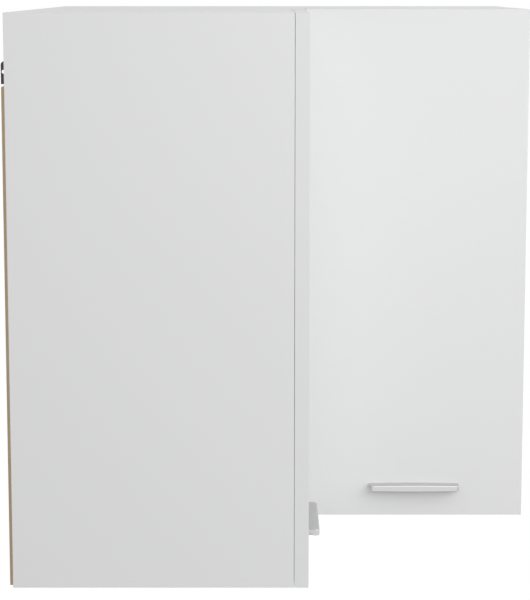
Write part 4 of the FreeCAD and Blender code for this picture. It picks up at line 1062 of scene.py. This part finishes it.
LONG_SHARE = 0.9            # of the longest screw: what is shorter is an adjuster
RECESS_SHARE = 0.8          # of a head's height: as deep as its cross may go
ADJUSTER_PITCH = 0.00125
SHELF_PIN = {"Rest Radius": 0.003, "Rest Length": 0.0092, "Collar Radius": 0.004,
             "Collar": 0.0008, "Plug Radius": 0.0025}
CAM_BOLT = {"Thread Radius": 0.0029, "Thread Length": 0.011, "Pitch": 0.0021,
            "Collar Radius": 0.0036, "Collar": 0.0014, "Neck Radius": 0.0019,
            "Head Radius": 0.0032, "Head Length": 0.0034}
DOWEL_CUTS = {"Bevel": 0.001, "Groove": 0.0003}
LEG_MIDDLE = 0.3            # distance from the room corner to the middle of a leg
HALF_HEIGHT = (CAD_BOX[0][2] + CAD_BOX[1][2]) / 2


class CABINET_OT_pins(CabinetStep, bpy.types.Operator):
    """Pivot pins of the hinges and pins under the shelf"""
    bl_idname = "cabinet.pins"
    bl_label = "Pins"

    def build(self, scene):
        grower = pin_grower()
        nodes = {"hinge_arm_pins": CARCASS,
                 **{"hinge_cup_pins_" + side: side + "_door" for side in SIDES}}
        for node, body in nodes.items():
            kinds = {}
            for solid in turned_solids(node, 2):
                kinds.setdefault(round(solid.length, 5), []).append(solid)
            for number, solids in enumerate(kinds.values()):
                grow(node, grower, solids[0].plain(), solids, "nickel", body,
                     "%s_set%d" % (node, number))
        pins = turned_solids("shelf_pins", wrong_way=stands_in_board)
        values = {**SHELF_PIN, "Length": pins[0].length}
        grow("shelf_pins", shelf_pin_grower(), values, pins, "nickel")


def stands_in_board(solid):
    """Whether a shelf pin's outer end lies in a board, and not in the room of its leg."""
    along_leg = abs(solid.facing.y) > 0.5
    place = solid.top.y if along_leg else -solid.top.x
    facing = solid.facing.y if along_leg else -solid.facing.x
    return (facing > 0) != (place < -LEG_MIDDLE)


class CABINET_OT_nails(CabinetStep, bpy.types.Operator):
    """Nails that hold the backs"""
    bl_idname = "cabinet.nails"
    bl_label = "Nails"

    def build(self, scene):
        nails = turned_solids("back_panel_nails")
        grow("back_panel_nails", nail_grower(), nails[0].headed(), nails, "zinc")


class CABINET_OT_joints(CabinetStep, bpy.types.Operator):
    """Cams, their bolts and covers, and the fluted dowels between the boards"""
    bl_idname = "cabinet.joints"
    bl_label = "Cams and dowels"

    def build(self, scene):
        fittings = scene.cabinet_fittings
        pressed_piece("cam_locks", CARCASS, "cast", fittings.rounding)
        bolts = turned_solids("cam_bolts")
        values = {**CAM_BOLT, "Length": bolts[0].length}
        grow("cam_bolts", cam_bolt_grower(), values, bolts, "zinc")
        covers = turned_solids(
            "cam_covers", 2, lambda solid: (solid.facing.z > 0) != (solid.top.z < HALF_HEIGHT))
        grow("cam_covers", cover_grower(), covers[0].plain(), covers, "plastic")
        dowels = turned_solids("wood_dowels")
        values = {**DOWEL_CUTS, **dowels[0].plain()}
        grow("wood_dowels", dowel_grower(fittings.flutes), values, dowels, "beech")


class CABINET_OT_bumpers(CabinetStep, bpy.types.Operator):
    """Soft dots in the corners of the doors"""
    bl_idname = "cabinet.bumpers"
    bl_label = "Door bumpers"

    def build(self, scene):
        grower = bumper_grower()
        for side, axis, way in (("left", 0, -1.0), ("right", 1, 1.0)):
            node = "door_bumpers_" + side
            dots = turned_solids(node, axis, lambda solid: solid.facing[axis] * way < 0)
            grow(node, grower, dots[0].plain(), dots, "bumper", side + "_door")


STEPS = (CABINET_OT_boards, CABINET_OT_backs, CABINET_OT_handles, CABINET_OT_hinges,
         CABINET_OT_hangers, CABINET_OT_screws, CABINET_OT_pins, CABINET_OT_nails,
         CABINET_OT_joints, CABINET_OT_bumpers)


# ---- stage

WHITE = (1.0, 1.0, 1.0, 1.0)
PALE = (0.9, 0.9, 0.9, 1.0)
FLOOR_GLOW = 1.15           # how bright the floor is where the camera sees it
FLOOR_SHARE = 0.8           # how much of that it shows, so that a soft shadow stays
FLOOR_REACH = 20.0
AIM = Vector((0.33, -0.33, 0.30))
LAMPS = {"key": ((1.6, -1.3, 1.2), 1.6), "fill": ((0.6, -3.0, 1.1), 1.8)}   # place, width
CAMERA_PLACE = (0.2673, -2.3741, 0.6261)
CAMERA_TILT = 7.17          # degrees down
CAMERA_SHIFT = -0.15


class CABINET_OT_stage(CabinetStep, bpy.types.Operator):
    """Floor, surround, lights and the camera"""
    bl_idname = "cabinet.stage"
    bl_label = "Stage"

    def build(self, scene):
        stage = scene.cabinet_stage
        make_floor(stage.floor_drop)
        make_surround(stage.sky)
        for name, (place, width) in LAMPS.items():
            area_light(name + "_light", place, width, getattr(stage, name))
        make_camera(stage.lens)
        scene.view_settings.view_transform = "Standard"


def two_ways(tree, lit, seen, share, output):
    """Two shaders in one tree: one for light in general, and one for what is seen directly."""
    tree.nodes.clear()
    bench = Bench(tree)
    shaders = [bench.add("ShaderNode" + kind, None, inputs) for kind, inputs in (lit, seen)]
    mixed = bench.add("ShaderNodeMixShader", None,
                      {0: seen_directly(bench) * share, 1: shaders[0], 2: shaders[1]})
    bench.put(tree.nodes.new("ShaderNodeOutput" + output).inputs["Surface"], mixed)


def seen_directly(bench):
    """1 for what the camera sees itself, in a mirror or through glass, and 0 for other light."""
    camera, mirror, glass = (bench.add("ShaderNodeLightPath", output="Is %s Ray" % kind)
                             for kind in ("Camera", "Glossy", "Transmission"))
    total = camera + mirror + glass
    return total.math("MINIMUM", total, 1.0)


def make_floor(drop):
    """A pale floor that the camera sees as plain white, apart from the object's soft shadow."""
    mesh = bmesh.new()
    bmesh.ops.create_grid(mesh, x_segments=1, y_segments=1, size=FLOOR_REACH)
    data = bpy.data.meshes.new("studio_floor")
    mesh.to_mesh(data)
    mesh.free()
    data.transform(Matrix.Translation((0.3, -0.3, -drop)))
    material = bpy.data.materials.new("pale_floor")
    material.use_nodes = True
    two_ways(material.node_tree, ("BsdfDiffuse", {"Color": PALE}),
             ("Emission", {"Color": WHITE, "Strength": FLOOR_GLOW}), FLOOR_SHARE, "Material")
    data.materials.append(material)
    return stand("studio_floor", data)


def make_surround(strength):
    """An even surround: white where it is seen, and dimmer as a light."""
    world = bpy.data.worlds.new("studio_surround")
    world.use_nodes = True
    two_ways(world.node_tree, ("Background", {"Color": WHITE, "Strength": strength}),
             ("Background", {"Color": WHITE, "Strength": 1.0}), 1.0, "World")
    bpy.context.scene.world = world


def area_light(name, place, width, power):
    data = bpy.data.lights.new(name, "AREA")
    data.shape = "SQUARE"
    data.size = width
    data.energy = power
    lamp = stand(name, data)
    lamp.location = place
    lamp.rotation_euler = (AIM - Vector(place)).to_track_quat("-Z", "Y").to_euler()


def make_camera(lens):
    """A camera just above the top, a little tilted, with a small downward shift."""
    data = bpy.data.cameras.new("camera")
    data.lens = lens
    data.sensor_width = 36.0
    data.shift_y = CAMERA_SHIFT
    camera = stand("camera", data)
    camera.location = CAMERA_PLACE
    camera.rotation_euler = (math.radians(90.0 - CAMERA_TILT), 0.0, 0.0)
    bpy.context.scene.camera = camera


# ---- panel and registration

class CABINET_PT_panel(bpy.types.Panel):
    """The steps and their sizes in the sidebar"""
    bl_label = "Corner wall cabinet"
    bl_idname = "CABINET_PT_panel"
    bl_space_type = "VIEW_3D"
    bl_region_type = "UI"
    bl_category = "Cabinet"

    def draw(self, context):
        for name, group in GROUPS.items():
            box = self.layout.box()
            settings = getattr(context.scene, name)
            for prop in group.__annotations__:
                box.prop(settings, prop)
        for step in STEPS + (CABINET_OT_stage,):
            self.layout.operator(step.bl_idname)


GROUPS = {
    "cabinet_boards": CABINET_PG_boards,
    "cabinet_handles": CABINET_PG_handles,
    "cabinet_fittings": CABINET_PG_fittings,
    "cabinet_stage": CABINET_PG_stage,
}


def register():
    for cls in (*GROUPS.values(), *STEPS, CABINET_OT_stage, CABINET_PT_panel):
        bpy.utils.register_class(cls)
    for name, group in GROUPS.items():
        setattr(bpy.types.Scene, name, bpy.props.PointerProperty(type=group))


def unregister():
    for name in GROUPS:
        delattr(bpy.types.Scene, name)
    for cls in (CABINET_PT_panel, CABINET_OT_stage, *reversed(STEPS), *GROUPS.values()):
        bpy.utils.unregister_class(cls)


def main():
    register()
    make_finishes()
    for step in STEPS + (CABINET_OT_stage,):
        family, name = step.bl_idname.split(".")
        getattr(getattr(bpy.ops, family), name)()


if __name__ == "__main__":
    main()
